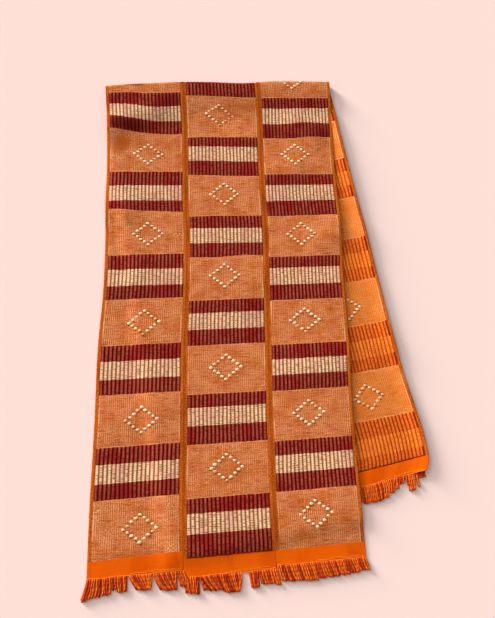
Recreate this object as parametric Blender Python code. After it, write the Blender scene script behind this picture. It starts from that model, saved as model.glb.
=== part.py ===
"""A strip-woven cloth: three long strips sewn edge to edge, with fringed ends, folded once across and laid flat.

Two frames are used, both in millimetres. The open frame is the cloth unfolded: x runs across it from the left
strip's outer edge, y runs along the warp, and the front end is at negative y. The plan frame is the cloth as it
lies, seen from above, where the front layer keeps its places from the open frame. A fold line that leans to the
wefts turns the cloth over, so the back layer swings out by twice that lean.
"""

import math
from collections import namedtuple

import bmesh
import bpy
import numpy as np

MM = 0.001

# Sizes of the cloth
STRIP_WIDTH = 120.0
SEAM_GAP = 0.3
THICKNESS = 1.6
BAND_LENGTH = 68.0
BAND_RELIEF = 0.3
BORDER_STEP = 1.6
FRONT_WEFT_LEAN = math.radians(2.6)
BACK_WEFT_LEAN = math.radians(-0.5)
BACK_END_LEAN = math.radians(-3.0)

# The fold: a soft loop along a line that leans across the cloth
FOLD_START = 11.2
FOLD_LEAN = math.radians(4.7)
FOLD_RADIUS = 4.2
FOLD_SETTLE = 75.0
FOLD_QUARTER = FOLD_RADIUS * math.pi / 2
FOLD_TAKE_UP = FOLD_QUARTER - FOLD_RADIUS
FOLD_ROW_SHARES = (-1.0, -0.67, -0.33, 0.0, 0.33, 0.67, 1.0)
FOLD_FLANK = 13.0

# How the front layer lies over the back one, and comes down to the surface past its edges
FRONT_LIFT = 2.9
EDGE_CLEARANCE = 5.0
DROP_WIDTH = 26.0
ROW_SPACING = 24.0

# The fringe
LOCKS_PER_END = 36
BACKING_LENGTH = 3.0
BACKING_GAP = 0.3
FRINGE_LENGTH = 17.0
SHORTEST_CLUMP = 0.78
SHORTEST_LOCK = 0.9
CLUMP_SIZES = (3, 6)
CLUMP_LEAN = 0.8
CLUMP_GATHER = 0.26
CALM_LOCKS = 6
OUTER_SPLAY = 1.5
SPLAY_LOCKS = 8
FRINGE_SEED = 7
FRINGE_COLOUR = (0.70, 0.16, 0.02)
COTTON_ROUGHNESS = 0.9

# The cross-sections of a lock past its root: share of its length, half width in pitches and height
LockRing = namedtuple("LockRing", "reach half_width height")
LOCK_RINGS = (
    LockRing(0.4, 0.36, 1.1),
    LockRing(1.0, 0.25, 0.7),
)

# Middle of the part's box in the plan frame, which is the part's origin
CENTRE_X = 231.05
CENTRE_Y = -346.87

# One row for each strip: its left edge, both ends and a border of its bands in the open frame, and its repeat
Strip = namedtuple("Strip", "side left front_end front_band back_band back_end repeat columns colour")
STRIPS = (
    Strip("left", 0.0, -713.0, -3.0, 596.0, 681.0, 137.6, 8, (0.62, 0.20, 0.05)),
    Strip("middle", 120.0, -716.0, 62.5, 523.5, 681.0, 136.3, 6, (0.50, 0.13, 0.04)),
    Strip("right", 240.0, -706.5, -0.5, 603.0, 692.0, 137.2, 6, (0.66, 0.23, 0.06)),
)

# One row of a strip's mesh: its open-frame y at both sides and whether the relief of a band is on
Row = namedtuple("Row", "left_y right_y raised")

# How far the outer edges stray sideways, at a distance from the fold
EdgeStray = namedtuple("EdgeStray", "distance left right")
FRONT_STRAY = (
    EdgeStray(0.0, -7.0, -2.5),
    EdgeStray(60.0, -2.5, -1.5),
    EdgeStray(150.0, 0.5, -2.5),
    EdgeStray(200.0, 0.5, -1.5),
    EdgeStray(260.0, 2.5, 1.0),
    EdgeStray(325.0, 3.2, -1.0),
    EdgeStray(430.0, -1.6, -0.3),
    EdgeStray(530.0, -1.4, -2.2),
    EdgeStray(630.0, -3.0, -1.3),
    EdgeStray(760.0, -2.4, 2.6),
)
BACK_STRAY = (
    EdgeStray(0.0, -7.0, -2.5),
    EdgeStray(60.0, -4.0, -4.5),
    EdgeStray(140.0, -2.0, -6.0),
    EdgeStray(260.0, 0.0, -4.8),
    EdgeStray(390.0, -1.0, -5.0),
    EdgeStray(480.0, -1.0, -2.5),
    EdgeStray(610.0, 1.0, 1.5),
    EdgeStray(680.0, 2.0, 2.0),
)

# How far the fold bulges past its straight line, at a distance across the cloth
FoldBulge = namedtuple("FoldBulge", "across bulge")
FOLD_BULGES = (
    FoldBulge(0.0, -4.0),
    FoldBulge(30.0, -1.0),
    FoldBulge(65.0, 0.6),
    FoldBulge(115.0, 1.8),
    FoldBulge(165.0, 0.6),
    FoldBulge(225.0, -2.2),
    FoldBulge(262.0, 0.6),
    FoldBulge(310.0, -0.2),
    FoldBulge(362.0, -2.0),
)
BULGE_REACH = 45.0

# Soft ridges in the front layer, each along a line in plan, with its height and half width
Ridge = namedtuple("Ridge", "x0 y0 x1 y1 rise half_width")
RIDGES = (
    Ridge(-8.0, -64.0, 62.0, -26.0, 6.0, 26.0),
    Ridge(300.0, -42.0, 326.0, -58.0, 3.0, 24.0),
    Ridge(208.0, -70.0, 222.0, -76.0, 2.0, 20.0),
    Ridge(-6.0, -196.0, 28.0, -206.0, 2.6, 24.0),
    Ridge(255.0, -132.0, 285.0, -128.0, 1.8, 26.0),
    Ridge(356.0, -225.0, 330.0, -246.0, 2.2, 26.0),
    Ridge(-2.0, -306.0, 30.0, -322.0, 2.4, 28.0),
    Ridge(150.0, -290.0, 196.0, -330.0, 1.2, 34.0),
    Ridge(300.0, -440.0, 350.0, -430.0, 1.5, 32.0),
    Ridge(20.0, -520.0, 70.0, -500.0, 1.4, 34.0),
    Ridge(356.0, -640.0, 330.0, -616.0, 2.0, 26.0),
)

# The same for the part of the back layer that the front one leaves bare
BACK_RIDGES = (
    Ridge(406.0, -222.0, 392.0, -246.0, 1.6, 20.0),
    Ridge(440.0, -414.0, 414.0, -402.0, 1.8, 22.0),
)

# Places where the weave is pulled towards the front end, by an amount that dies away over two half sizes
Pull = namedtuple("Pull", "x y amount half_across half_along")
PULLS = (
    Pull(92.0, -60.0, 4.5, 42.0, 48.0),
)


def clear_scene():
    """Remove every object of the scene."""
    for obj in list(bpy.data.objects):
        bpy.data.objects.remove(obj, do_unlink=True)


def smooth_table(position, keys, values):
    """Read a short table at any position, along a smooth curve through its rows."""
    keys = np.asarray(keys, dtype=float)
    values = np.asarray(values, dtype=float)
    slopes = np.gradient(values, keys)
    place = np.clip(position, keys[0], keys[-1])
    index = np.clip(np.searchsorted(keys, place, side="right") - 1, 0, len(keys) - 2)
    span = keys[index + 1] - keys[index]
    t = (place - keys[index]) / span
    start = values[index] * (1 + 2 * t) * (1 - t) ** 2 + values[index + 1] * t ** 2 * (3 - 2 * t)
    lean = slopes[index] * t * (1 - t) ** 2 - slopes[index + 1] * t ** 2 * (1 - t)
    return start + span * lean


def ease(t):
    """Fall smoothly from 1 at t = 0 to 0 at t = 1."""
    return 0.5 + 0.5 * np.cos(np.pi * np.clip(t, 0.0, 1.0))


def stray(rows, across, distance):
    """Sideways stray of the cloth between its two outer edges."""
    distances = [row.distance for row in rows]
    left = smooth_table(distance, distances, [row.left for row in rows])
    right = smooth_table(distance, distances, [row.right for row in rows])
    share = across / (len(STRIPS) * STRIP_WIDTH)
    return left + (right - left) * share


def fold_coordinates(x, y):
    """Turn open-frame places into a length along the fold and a signed length past its outermost line."""
    rise = y - FOLD_START
    along = x * math.cos(FOLD_LEAN) + rise * math.sin(FOLD_LEAN)
    past = rise * math.cos(FOLD_LEAN) - x * math.sin(FOLD_LEAN) - FOLD_TAKE_UP
    return along, past


def open_y_of_fold(x, past):
    """Open-frame y of the place on the cloth that lies a length past the fold's outermost line."""
    return FOLD_START + x * math.tan(FOLD_LEAN) + (past + FOLD_TAKE_UP) / math.cos(FOLD_LEAN)


def back_cover(along, inward):
    """Share of the front layer's lift: 1 over the back layer, 0 where the front layer lies on the surface."""
    across = along * math.cos(FOLD_LEAN) - inward * math.sin(FOLD_LEAN)
    length = along * math.sin(FOLD_LEAN) + inward * math.cos(FOLD_LEAN) + FOLD_START
    back_end = max(strip.back_end for strip in STRIPS) + BACKING_LENGTH + FRINGE_LENGTH
    past_side = ease((-across - EDGE_CLEARANCE) / DROP_WIDTH)
    past_end = ease((length - back_end - EDGE_CLEARANCE) / DROP_WIDTH)
    return past_side * past_end


def ridge_height(ridges, x, y):
    """Height that soft ridges add to a layer."""
    total = np.zeros_like(x)
    for ridge in ridges:
        run = np.array([ridge.x1 - ridge.x0, ridge.y1 - ridge.y0])
        length = np.hypot(*run)
        t = ((x - ridge.x0) * run[0] + (y - ridge.y0) * run[1]) / length ** 2
        t = np.clip(t, 0.0, 1.0)
        distance = np.hypot(x - ridge.x0 - t * run[0], y - ridge.y0 - t * run[1])
        total = total + ridge.rise * np.exp(-(distance / ridge.half_width) ** 2)
    return total


def weave_pull(x, y):
    """Length by which the weave is pulled towards the front end."""
    total = np.zeros_like(x)
    for pull in PULLS:
        distance = ((x - pull.x) / pull.half_across) ** 2 + ((y - pull.y) / pull.half_along) ** 2
        total = total + pull.amount * np.exp(-distance)
    return total


def middle_surface(x, y):
    """Places of the cloth's middle surface, from the open frame to the plan frame."""
    x = np.asarray(x, dtype=float)
    y = np.asarray(y, dtype=float)
    along, past = fold_coordinates(x, y)
    turn = np.clip(past / FOLD_RADIUS, -math.pi / 2, math.pi / 2)
    beyond = np.maximum(np.abs(past) - FOLD_QUARTER, 0.0)
    inward = FOLD_RADIUS * (1 - np.cos(turn)) + beyond
    loop_height = THICKNESS / 2 + FOLD_RADIUS * (1 - np.sin(turn))

    is_front = past < 0
    sideways = np.where(is_front, stray(FRONT_STRAY, x, inward), stray(BACK_STRAY, x, inward))
    bulge = smooth_table(along, [row.across for row in FOLD_BULGES], [row.bulge for row in FOLD_BULGES])
    reach = inward - bulge * ease(inward / BULGE_REACH)
    plan_x = along * math.cos(FOLD_LEAN) + reach * math.sin(FOLD_LEAN) + sideways
    plan_y = FOLD_START + along * math.sin(FOLD_LEAN) - reach * math.cos(FOLD_LEAN)
    plan_y = plan_y - np.where(is_front, weave_pull(x, y), 0.0)

    settled = THICKNESS / 2 + FRONT_LIFT * back_cover(along, inward)
    rise_left = ease(beyond / FOLD_SETTLE)
    front_ridges = ridge_height(RIDGES, plan_x, plan_y) * (1 - rise_left)
    front_height = settled + (loop_height - settled) * rise_left + front_ridges
    back_height = loop_height + ridge_height(BACK_RIDGES, plan_x, plan_y)
    plan_z = np.where(is_front & (beyond > 0), front_height, np.where(beyond > 0, back_height, loop_height))
    return np.stack([plan_x, plan_y, plan_z], axis=-1)


def outward_normal(x, y):
    """Unit normal of the face that is up on the front layer and outside on the fold."""
    step = 0.5
    across = middle_surface(x + step, y) - middle_surface(x - step, y)
    along = middle_surface(x, y + step) - middle_surface(x, y - step)
    normal = np.cross(across, along)
    return normal / np.linalg.norm(normal, axis=-1, keepdims=True)


def band_borders(strip):
    """Lower and upper open-frame borders of each band of one strip, with the lean of its wefts."""
    borders = []
    top = strip.front_band
    while top - BAND_LENGTH > strip.front_end:
        borders.append((top - BAND_LENGTH, top, FRONT_WEFT_LEAN))
        top -= strip.repeat
    bottom = strip.back_band
    fold_place = open_y_of_fold(strip.left, FOLD_FLANK) + BORDER_STEP
    while bottom > fold_place:
        borders.append((bottom, bottom + BAND_LENGTH, BACK_WEFT_LEAN))
        bottom -= strip.repeat
    return sorted(borders)


def weft_row(y, lean, raised):
    """Row of a strip's mesh that follows a weft from its left end."""
    return Row(y, y + STRIP_WIDTH * math.tan(lean), raised)


def key_rows(strip):
    """Rows of the strip's mesh that have a set place: its ends, its band borders and the turn of its fold."""
    half = BORDER_STEP / 2
    rows = [weft_row(strip.front_end, FRONT_WEFT_LEAN, 0.0), weft_row(strip.back_end, BACK_END_LEAN, 0.0)]
    for bottom, top, lean in band_borders(strip):
        rows += [weft_row(bottom - half, lean, 0.0), weft_row(bottom + half, lean, 1.0)]
        rows += [weft_row(top - half, lean, 1.0), weft_row(top + half, lean, 0.0)]
    turn = [share * FOLD_QUARTER for share in FOLD_ROW_SHARES]
    for past in [-FOLD_FLANK, *turn, FOLD_FLANK]:
        right_y = open_y_of_fold(strip.left + STRIP_WIDTH, past)
        rows.append(Row(open_y_of_fold(strip.left, past), right_y, 0.0))
    return sorted(rows)


def all_rows(strip):
    """Key rows with evenly spaced rows between those that lie far apart."""
    rows = key_rows(strip)
    filled = [rows[0]]
    for before, after in zip(rows, rows[1:]):
        pieces = max(1, round((after.left_y - before.left_y) / ROW_SPACING))
        for piece in range(1, pieces):
            t = piece / pieces
            left_y = before.left_y + (after.left_y - before.left_y) * t
            right_y = before.right_y + (after.right_y - before.right_y) * t
            filled.append(Row(left_y, right_y, min(before.raised, after.raised)))
        filled.append(after)
    return np.array(filled)


def to_world(points):
    """Plan frame in millimetres to the part's own frame in metres."""
    return (points - np.array([CENTRE_X, CENTRE_Y, 0.0])) * MM


def make_material(name, colour):
    """Plain cotton of one colour."""
    material = bpy.data.materials.new(name)
    material.use_nodes = True
    shader = material.node_tree.nodes["Principled BSDF"]
    shader.inputs["Base Color"].default_value = (*colour, 1.0)
    shader.inputs["Roughness"].default_value = COTTON_ROUGHNESS
    shader.inputs["Metallic"].default_value = 0.0
    return material


def make_object(name, points, faces, material):
    """Closed mesh object with its faces pointing out."""
    mesh = bpy.data.meshes.new(name)
    mesh.from_pydata([tuple(point) for point in to_world(points)], [], faces)
    shape = bmesh.new()
    shape.from_mesh(mesh)
    bmesh.ops.recalc_face_normals(shape, faces=shape.faces)
    shape.to_mesh(mesh)
    shape.free()
    mesh.materials.append(material)
    obj = bpy.data.objects.new(name, mesh)
    bpy.context.collection.objects.link(obj)
    return obj


def make_strip(strip):
    """One woven strip, from its front end over the fold to its back end."""
    rows = all_rows(strip)
    share = np.linspace(0.0, 1.0, strip.columns + 1)
    x = strip.left + SEAM_GAP / 2 + share * (STRIP_WIDTH - SEAM_GAP)
    x_grid = np.repeat(x[None, :], len(rows), axis=0)
    y_grid = rows[:, 0:1] + (rows[:, 1:2] - rows[:, 0:1]) * share[None, :]
    middle = middle_surface(x_grid, y_grid)
    normal = outward_normal(x_grid, y_grid)
    relief = (rows[:, 2] * BAND_RELIEF)[:, None, None]
    on_front = (fold_coordinates(x_grid, y_grid)[1] < 0)[..., None]
    outer = middle + normal * (THICKNESS / 2 + np.where(on_front, relief, 0.0))
    inner = middle - normal * (THICKNESS / 2 + np.where(on_front, 0.0, relief))

    row_count, column_count = x_grid.shape
    inner_start = row_count * column_count
    faces = []

    def outer_point(row, column):
        return row * column_count + column

    for row in range(row_count - 1):
        for column in range(column_count - 1):
            corners = [
                outer_point(row, column),
                outer_point(row, column + 1),
                outer_point(row + 1, column + 1),
                outer_point(row + 1, column),
            ]
            faces.append(corners)
            faces.append([inner_start + corner for corner in reversed(corners)])
    rim = [outer_point(0, column) for column in range(column_count)]
    rim += [outer_point(row, column_count - 1) for row in range(1, row_count)]
    rim += [outer_point(row_count - 1, column) for column in range(column_count - 2, -1, -1)]
    rim += [outer_point(row, 0) for row in range(row_count - 2, 0, -1)]
    for corner, following in zip(rim, rim[1:] + rim[:1]):
        faces.append([following, corner, inner_start + corner, inner_start + following])
    points = np.concatenate([outer.reshape(-1, 3), inner.reshape(-1, 3)])
    material = make_material(f"strip_{strip.side}_cotton", strip.colour)
    return make_object(f"strip_{strip.side}", points, faces, material)


def lock_shapes(rng, pitch, is_outer_left):
    """Tip shift across and length of each lock of one fringe, gathered in uneven clumps."""
    shifts = []
    lengths = []
    while len(shifts) < LOCKS_PER_END:
        first = len(shifts)
        clump_end = min(first + int(rng.integers(CLUMP_SIZES[0], CLUMP_SIZES[1] + 1)), LOCKS_PER_END)
        centre = (first + clump_end - 1) / 2
        lean = rng.uniform(0.0, CLUMP_LEAN)
        length = FRINGE_LENGTH * rng.uniform(SHORTEST_CLUMP, 1.0)
        for index in range(first, clump_end):
            calm = min(1.0, (LOCKS_PER_END - 1 - index) / CALM_LOCKS)
            splay = OUTER_SPLAY * max(0.0, 1.0 - index / SPLAY_LOCKS) if is_outer_left else 0.0
            shifts.append((lean * calm + (centre - index) * CLUMP_GATHER - splay) * pitch)
            lengths.append(length * rng.uniform(SHORTEST_LOCK, 1.0))
    return shifts, lengths


def make_fringe(strip, end_name, outward, seed):
    """Locks along one end of a strip, fused at their roots into a narrow backing."""
    rng = np.random.default_rng(seed)
    end_y, lean = (strip.front_end, FRONT_WEFT_LEAN) if outward < 0 else (strip.back_end, BACK_END_LEAN)
    left = strip.left + SEAM_GAP / 2
    width = STRIP_WIDTH - SEAM_GAP
    pitch = width / LOCKS_PER_END
    shifts, lengths = lock_shapes(rng, pitch, strip.left == 0.0)

    def end_line(x):
        return end_y + (x - strip.left) * math.tan(lean)

    points = []
    faces = []

    def add_point(x, y, z):
        place = middle_surface(x, y)
        points.append((place[0], place[1], z))
        return len(points) - 1

    joints = []
    for index in range(LOCKS_PER_END + 1):
        x = left + index * pitch
        root = end_line(x) + outward * BACKING_GAP
        tip = root + outward * BACKING_LENGTH
        corners = ((root, 0.0), (root, THICKNESS), (tip, THICKNESS), (tip, 0.0))
        joints.append([add_point(x, y, z) for y, z in corners])
    faces.append(joints[0])
    faces.append(joints[-1][::-1])
    for index in range(LOCKS_PER_END):
        near, far = joints[index], joints[index + 1]
        faces.append([near[0], far[0], far[1], near[1]])
        faces.append([near[1], far[1], far[2], near[2]])
        faces.append([near[3], far[3], far[0], near[0]])
        ring = [near[2], far[2], far[3], near[3]]
        centre = left + (index + 0.5) * pitch
        start = end_line(centre) + outward * (BACKING_GAP + BACKING_LENGTH)
        for section in LOCK_RINGS:
            middle_x = centre + shifts[index] * section.reach
            y = start + outward * lengths[index] * section.reach
            near_x = middle_x - section.half_width * pitch
            far_x = middle_x + section.half_width * pitch
            corners = ((near_x, section.height), (far_x, section.height), (far_x, 0.0), (near_x, 0.0))
            following = [add_point(x, y, z) for x, z in corners]
            for corner in range(4):
                after = (corner + 1) % 4
                faces.append([ring[corner], ring[after], following[after], following[corner]])
            ring = following
        faces.append(ring)
    name = f"fringe_{end_name}_{strip.side}"
    material = make_material(f"{name}_yarn", FRINGE_COLOUR)
    return make_object(name, np.array(points), faces, material)


def main():
    clear_scene()
    for number, strip in enumerate(STRIPS):
        make_strip(strip)
        make_fringe(strip, "front", -1, FRINGE_SEED + number)
        make_fringe(strip, "back", 1, FRINGE_SEED + len(STRIPS) + number)


main()
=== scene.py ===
"""Looks of the folded strip-woven cloth: its woven strips, floats, seams, fringe, light and camera.

The cloth's sizes and its fold are those of the part's source, in the same two frames, both in millimetres.
Finer here than there are the gap at the seams, the borders of the bands, and the outer edges of the back
layer towards its end, with the curl of the right one.
The open frame is the cloth unfolded: x runs across it from the left strip's outer edge, and y along the warp,
with the front end at negative y. The plan frame is the cloth as it lies, seen from above.
"""

import math
from collections import namedtuple

import bpy
import numpy as np
from mathutils import Matrix, Vector


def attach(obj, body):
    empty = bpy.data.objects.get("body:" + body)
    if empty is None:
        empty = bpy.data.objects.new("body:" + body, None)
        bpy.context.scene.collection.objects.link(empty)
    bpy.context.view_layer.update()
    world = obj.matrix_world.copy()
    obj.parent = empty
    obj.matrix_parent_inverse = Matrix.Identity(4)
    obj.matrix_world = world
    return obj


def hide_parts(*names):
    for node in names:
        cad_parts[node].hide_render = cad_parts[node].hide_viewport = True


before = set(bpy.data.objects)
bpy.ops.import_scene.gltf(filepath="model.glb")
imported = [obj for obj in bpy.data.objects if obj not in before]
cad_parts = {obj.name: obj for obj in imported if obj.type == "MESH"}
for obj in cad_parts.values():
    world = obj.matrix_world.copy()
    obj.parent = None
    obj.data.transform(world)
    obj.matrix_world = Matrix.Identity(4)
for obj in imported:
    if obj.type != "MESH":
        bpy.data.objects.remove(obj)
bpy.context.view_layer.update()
MM = 0.001

# Sizes of the cloth and its fold: those of the part's source, but for the narrower gap at the seams
STRIP_WIDTH = 120.0
SEAM_GAP = 0.06
THICKNESS = 1.6
BAND_LENGTH = 68.0
FRONT_WEFT_LEAN = math.radians(2.6)
BACK_WEFT_LEAN_DEGREES = -0.5
BACK_END_LEAN = math.radians(-3.0)
FOLD_START = 11.2
FOLD_LEAN = math.radians(4.7)
FOLD_RADIUS = 4.2
FOLD_SETTLE = 75.0
FOLD_QUARTER = FOLD_RADIUS * math.pi / 2
FOLD_TAKE_UP = FOLD_QUARTER - FOLD_RADIUS
FRONT_LIFT = 2.9
EDGE_CLEARANCE = 5.0
DROP_WIDTH = 26.0
FRINGE_REACH = 20.0
CENTRE_X = 231.05
CENTRE_Y = -346.87

# One row for each strip: where it lies, both ends, both hems, its last band, and the repeat and stripes of
# the bands on its back part
Strip = namedtuple(
    "Strip",
    "side left front_end front_hem hem_lean back_band back_hem back_end repeat lower_dark cream",
)
STRIPS = (
    Strip("left", 0.0, -713.0, -692.5, 4.4, 596.0, 664.0, 681.0, 137.6, 20.0, 25.0),
    Strip("middle", 120.0, -716.0, -691.5, 2.7, 523.5, 660.0, 681.0, 136.3, 23.5, 25.5),
    Strip("right", 240.0, -706.5, -687.5, 3.1, 603.0, 671.0, 692.0, 137.2, 23.5, 25.5),
)

# The bands of the front part: each one's top at its strip's left side, its three stripes and its wefts' lean
Band = namedtuple("Band", "side top upper cream lower lean")
FRONT_BANDS = (
    Band("left", -3.5, 21.5, 24.0, 22.0, 2.4),
    Band("left", -141.5, 23.5, 25.5, 17.0, 2.2),
    Band("left", -277.5, 23.0, 25.0, 20.0, 2.6),
    Band("left", -413.0, 22.5, 25.5, 21.0, 2.6),
    Band("left", -552.5, 22.0, 24.5, 20.5, 3.2),
    Band("middle", 74.5, 20.0, 24.0, 34.0, 1.9),
    Band("middle", -74.5, 17.0, 25.5, 25.5, 1.0),
    Band("middle", -211.5, 20.5, 24.0, 22.0, 2.0),
    Band("middle", -346.0, 19.5, 24.5, 23.0, 2.9),
    Band("middle", -482.5, 18.5, 24.5, 25.0, 2.7),
    Band("middle", -620.0, 19.0, 25.5, 27.0, 2.7),
    Band("right", -0.5, 18.5, 27.5, 26.5, 3.6),
    Band("right", -138.0, 18.5, 26.5, 25.5, 3.2),
    Band("right", -275.5, 18.0, 26.5, 24.0, 2.9),
    Band("right", -411.5, 21.5, 22.5, 22.5, 3.1),
    Band("right", -547.5, 19.5, 23.5, 24.0, 3.3),
)

# How far the outer edges stray sideways, at a distance from the fold
EdgeStray = namedtuple("EdgeStray", "distance left right")
FRONT_STRAY = (
    EdgeStray(0.0, -7.0, -2.5),
    EdgeStray(60.0, -2.5, -1.5),
    EdgeStray(150.0, 0.5, -2.5),
    EdgeStray(200.0, 0.5, -1.5),
    EdgeStray(260.0, 2.5, 1.0),
    EdgeStray(325.0, 3.2, -1.0),
    EdgeStray(430.0, -1.6, -0.3),
    EdgeStray(530.0, -1.4, -2.2),
    EdgeStray(630.0, -3.0, -1.3),
    EdgeStray(760.0, -2.4, 2.6),
)
BACK_STRAY = (
    EdgeStray(0.0, -7.0, -2.5),
    EdgeStray(60.0, -4.0, -4.5),
    EdgeStray(140.0, -2.0, -6.0),
    EdgeStray(260.0, 0.0, -4.8),
    EdgeStray(390.0, -1.0, -5.0),
    EdgeStray(480.0, -1.0, -4.5),
    EdgeStray(610.0, 1.0, 1.5),
    EdgeStray(622.0, 1.2, 0.5),
    EdgeStray(643.0, 1.8, -10.0),
)

# How far the fold bulges past its straight line, at a distance across the cloth
FoldBulge = namedtuple("FoldBulge", "across bulge")
FOLD_BULGES = (
    FoldBulge(0.0, -4.0),
    FoldBulge(30.0, -1.0),
    FoldBulge(65.0, 0.6),
    FoldBulge(115.0, 1.8),
    FoldBulge(165.0, 0.6),
    FoldBulge(225.0, -2.2),
    FoldBulge(262.0, 0.6),
    FoldBulge(310.0, -0.2),
    FoldBulge(362.0, -2.0),
)
BULGE_REACH = 45.0

# Soft ridges in the front layer, each along a line in plan, with its height and half width
Ridge = namedtuple("Ridge", "x0 y0 x1 y1 rise half_width")
RIDGES = (
    Ridge(-8.0, -64.0, 62.0, -26.0, 6.0, 26.0),
    Ridge(300.0, -42.0, 326.0, -58.0, 3.0, 24.0),
    Ridge(208.0, -70.0, 222.0, -76.0, 2.0, 20.0),
    Ridge(-6.0, -196.0, 28.0, -206.0, 2.6, 24.0),
    Ridge(255.0, -132.0, 285.0, -128.0, 1.8, 26.0),
    Ridge(356.0, -225.0, 330.0, -246.0, 2.2, 26.0),
    Ridge(-2.0, -306.0, 30.0, -322.0, 2.4, 28.0),
    Ridge(150.0, -290.0, 196.0, -330.0, 1.2, 34.0),
    Ridge(300.0, -440.0, 350.0, -430.0, 1.5, 32.0),
    Ridge(20.0, -520.0, 70.0, -500.0, 1.4, 34.0),
    Ridge(356.0, -640.0, 330.0, -616.0, 2.0, 26.0),
)
BACK_RIDGES = (
    Ridge(406.0, -222.0, 392.0, -246.0, 1.6, 20.0),
    Ridge(440.0, -414.0, 414.0, -402.0, 1.8, 22.0),
)

# How high the back layer's right edge curls off the surface, at a distance from the fold
EdgeCurl = namedtuple("EdgeCurl", "distance rise")
EDGE_CURLS = (
    EdgeCurl(0.0, 0.0),
    EdgeCurl(60.0, 4.5),
    EdgeCurl(150.0, 6.0),
    EdgeCurl(260.0, 4.6),
    EdgeCurl(380.0, 5.0),
    EdgeCurl(500.0, 4.2),
    EdgeCurl(600.0, 5.0),
    EdgeCurl(680.0, 3.0),
)
CURL_WIDTH = 15.0

# Places where the weave is pulled towards the front end, or back from it, so that its borders wave
Pull = namedtuple("Pull", "x y amount half_across half_along")
PULLS = (
    Pull(92.0, -60.0, 4.5, 42.0, 48.0),
    Pull(68.0, -20.0, 4.0, 26.0, 22.0),
    Pull(62.0, -62.0, 1.8, 34.0, 20.0),
    Pull(4.0, -62.0, -3.2, 22.0, 22.0),
    Pull(112.0, -72.0, 1.5, 20.0, 14.0),
    Pull(6.0, -207.0, -3.8, 28.0, 9.0),
    Pull(114.0, -206.0, 2.1, 28.0, 9.0),
    Pull(286.0, -46.0, 1.0, 24.0, 40.0),
    Pull(320.0, -50.0, -1.2, 20.0, 40.0),
    Pull(150.0, -274.0, 1.4, 30.0, 14.0),
    Pull(210.0, -274.0, -2.4, 24.0, 14.0),
    Pull(262.0, -196.0, 1.4, 20.0, 10.0),
)

# The weave: ribs along the warp in the bands, low lines at half their pitch in the blocks, plain selvages
SELVAGE = 4.8
RIB_COUNT = 20
RIB_PITCH = (STRIP_WIDTH - 2 * SELVAGE) / RIB_COUNT
RIB_STEPS = 6
LINE_PITCH = RIB_PITCH / 2
WEFT_PITCH = 2.9
RIB_HEIGHT = 0.6
RIB_SINK = 0.3
LINE_HEIGHT = 0.14
EDGE_ROUND = 0.7
SELVAGE_COLUMNS = (0.0, 0.25, 0.7, 1.4, 2.5, 3.6)
EDGE_LINE = 1.4
JOIN_LINE = 1.9
EDGE_ZONE_LEAST = EDGE_LINE * 4
RIB_AT_BORDER = (0.0, 0.4, 0.8)
BORDER_STEP = 0.8
BORDER_JITTER = 0.3
SHORTEST_ZONE = 2.5 * BORDER_STEP
SWAY = 0.5
SWAY_MARGIN = 10.0
BUMPINESS = 0.12
BUMP_FINENESS = (2.3, 2.1)
BUMP_PHASE = 1.3
REST_SINK = 0.1
THINNEST_EDGE = 0.03
ROW_SPACING = 6.5
FOLD_ROW_SPACING = 1.3
FOLD_REACH = 11.0
WEAVE_SEED = 3
FLOAT_SEED = 13
SEAM_SEED = 23

# The diamonds of floats, each centred in a block of a strip: its place there, the share of its floats that
# are dull, and the lean of its wefts in degrees
FLOATS_PER_SIDE = 4
FLOAT_STEP_X = 5.3
FLOAT_STEP_Y = 4.25
FLOAT_HALF_X = 2.6
FLOAT_HALF_Y = 2.0
FLOAT_HEIGHT = 0.7
FLOAT_SINK = 0.4
FLOAT_STRAY = 0.45
FLOAT_SIZES = (0.84, 1.14)
FLOAT_SEGMENTS = 10
FLOAT_RINGS = (1.0, 0.85, 0.5)
RESTING_HEIGHT = 0.12
# Dark pads beside the floats: painted shade around them, together with the darker ground between them
SHADE_HALF_X = 2.0
SHADE_HALF_Y = 1.1
SHADE_HEIGHT = 0.45
SHADE_STRAY_X = 1.6
SHADE_STRAY_Y = 2.3
SHADE_STEPS = (0.8, 1.1)
SHADE_CHANCE = 0.72
CREAM_DYE = 0.12
DULL_DYE = 0.55
DULL_SHARES = (0.4, 0.9)
SHADE_DYE = 1.0
Diamond = namedtuple("Diamond", "side x y dull lean", defaults=(0.08, 2.6))
DIAMONDS = (
    Diamond("left", 63.0, -108.0),
    Diamond("left", 63.0, -242.0),
    Diamond("left", 62.0, -378.0),
    Diamond("left", 63.0, -515.0),
    Diamond("left", 65.0, -654.0),
    Diamond("middle", 56.0, -34.0, 0.55, -5.0),
    Diamond("middle", 60.0, -173.0),
    Diamond("middle", 57.0, -306.0),
    Diamond("middle", 59.0, -443.0),
    Diamond("middle", 59.0, -580.0),
    Diamond("right", 56.0, 37.5),
    Diamond("right", 56.0, -99.0),
    Diamond("right", 56.0, -236.0),
    Diamond("right", 56.0, -373.0),
    Diamond("right", 56.0, -508.0),
    Diamond("right", 57.0, -643.0),
    Diamond("left", 60.0, 148.0, 0.3, -0.5),
    Diamond("left", 60.0, 286.0, 0.3, -0.5),
    Diamond("left", 60.0, 424.0, 0.3, -0.5),
    Diamond("left", 60.0, 561.0, 0.3, -0.5),
    Diamond("middle", 60.0, 216.0, 0.3, -0.5),
    Diamond("middle", 60.0, 353.0, 0.3, -0.5),
    Diamond("middle", 60.0, 489.0, 0.3, -0.5),
    Diamond("middle", 60.0, 626.0, 0.3, -0.5),
    Diamond("right", 59.0, 162.0, 0.3, -0.5),
    Diamond("right", 59.0, 299.0, 0.3, -0.5),
    Diamond("right", 60.0, 436.0, 0.3, -0.5),
    Diamond("right", 58.0, 570.0, 0.7, -0.5),
)
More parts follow.
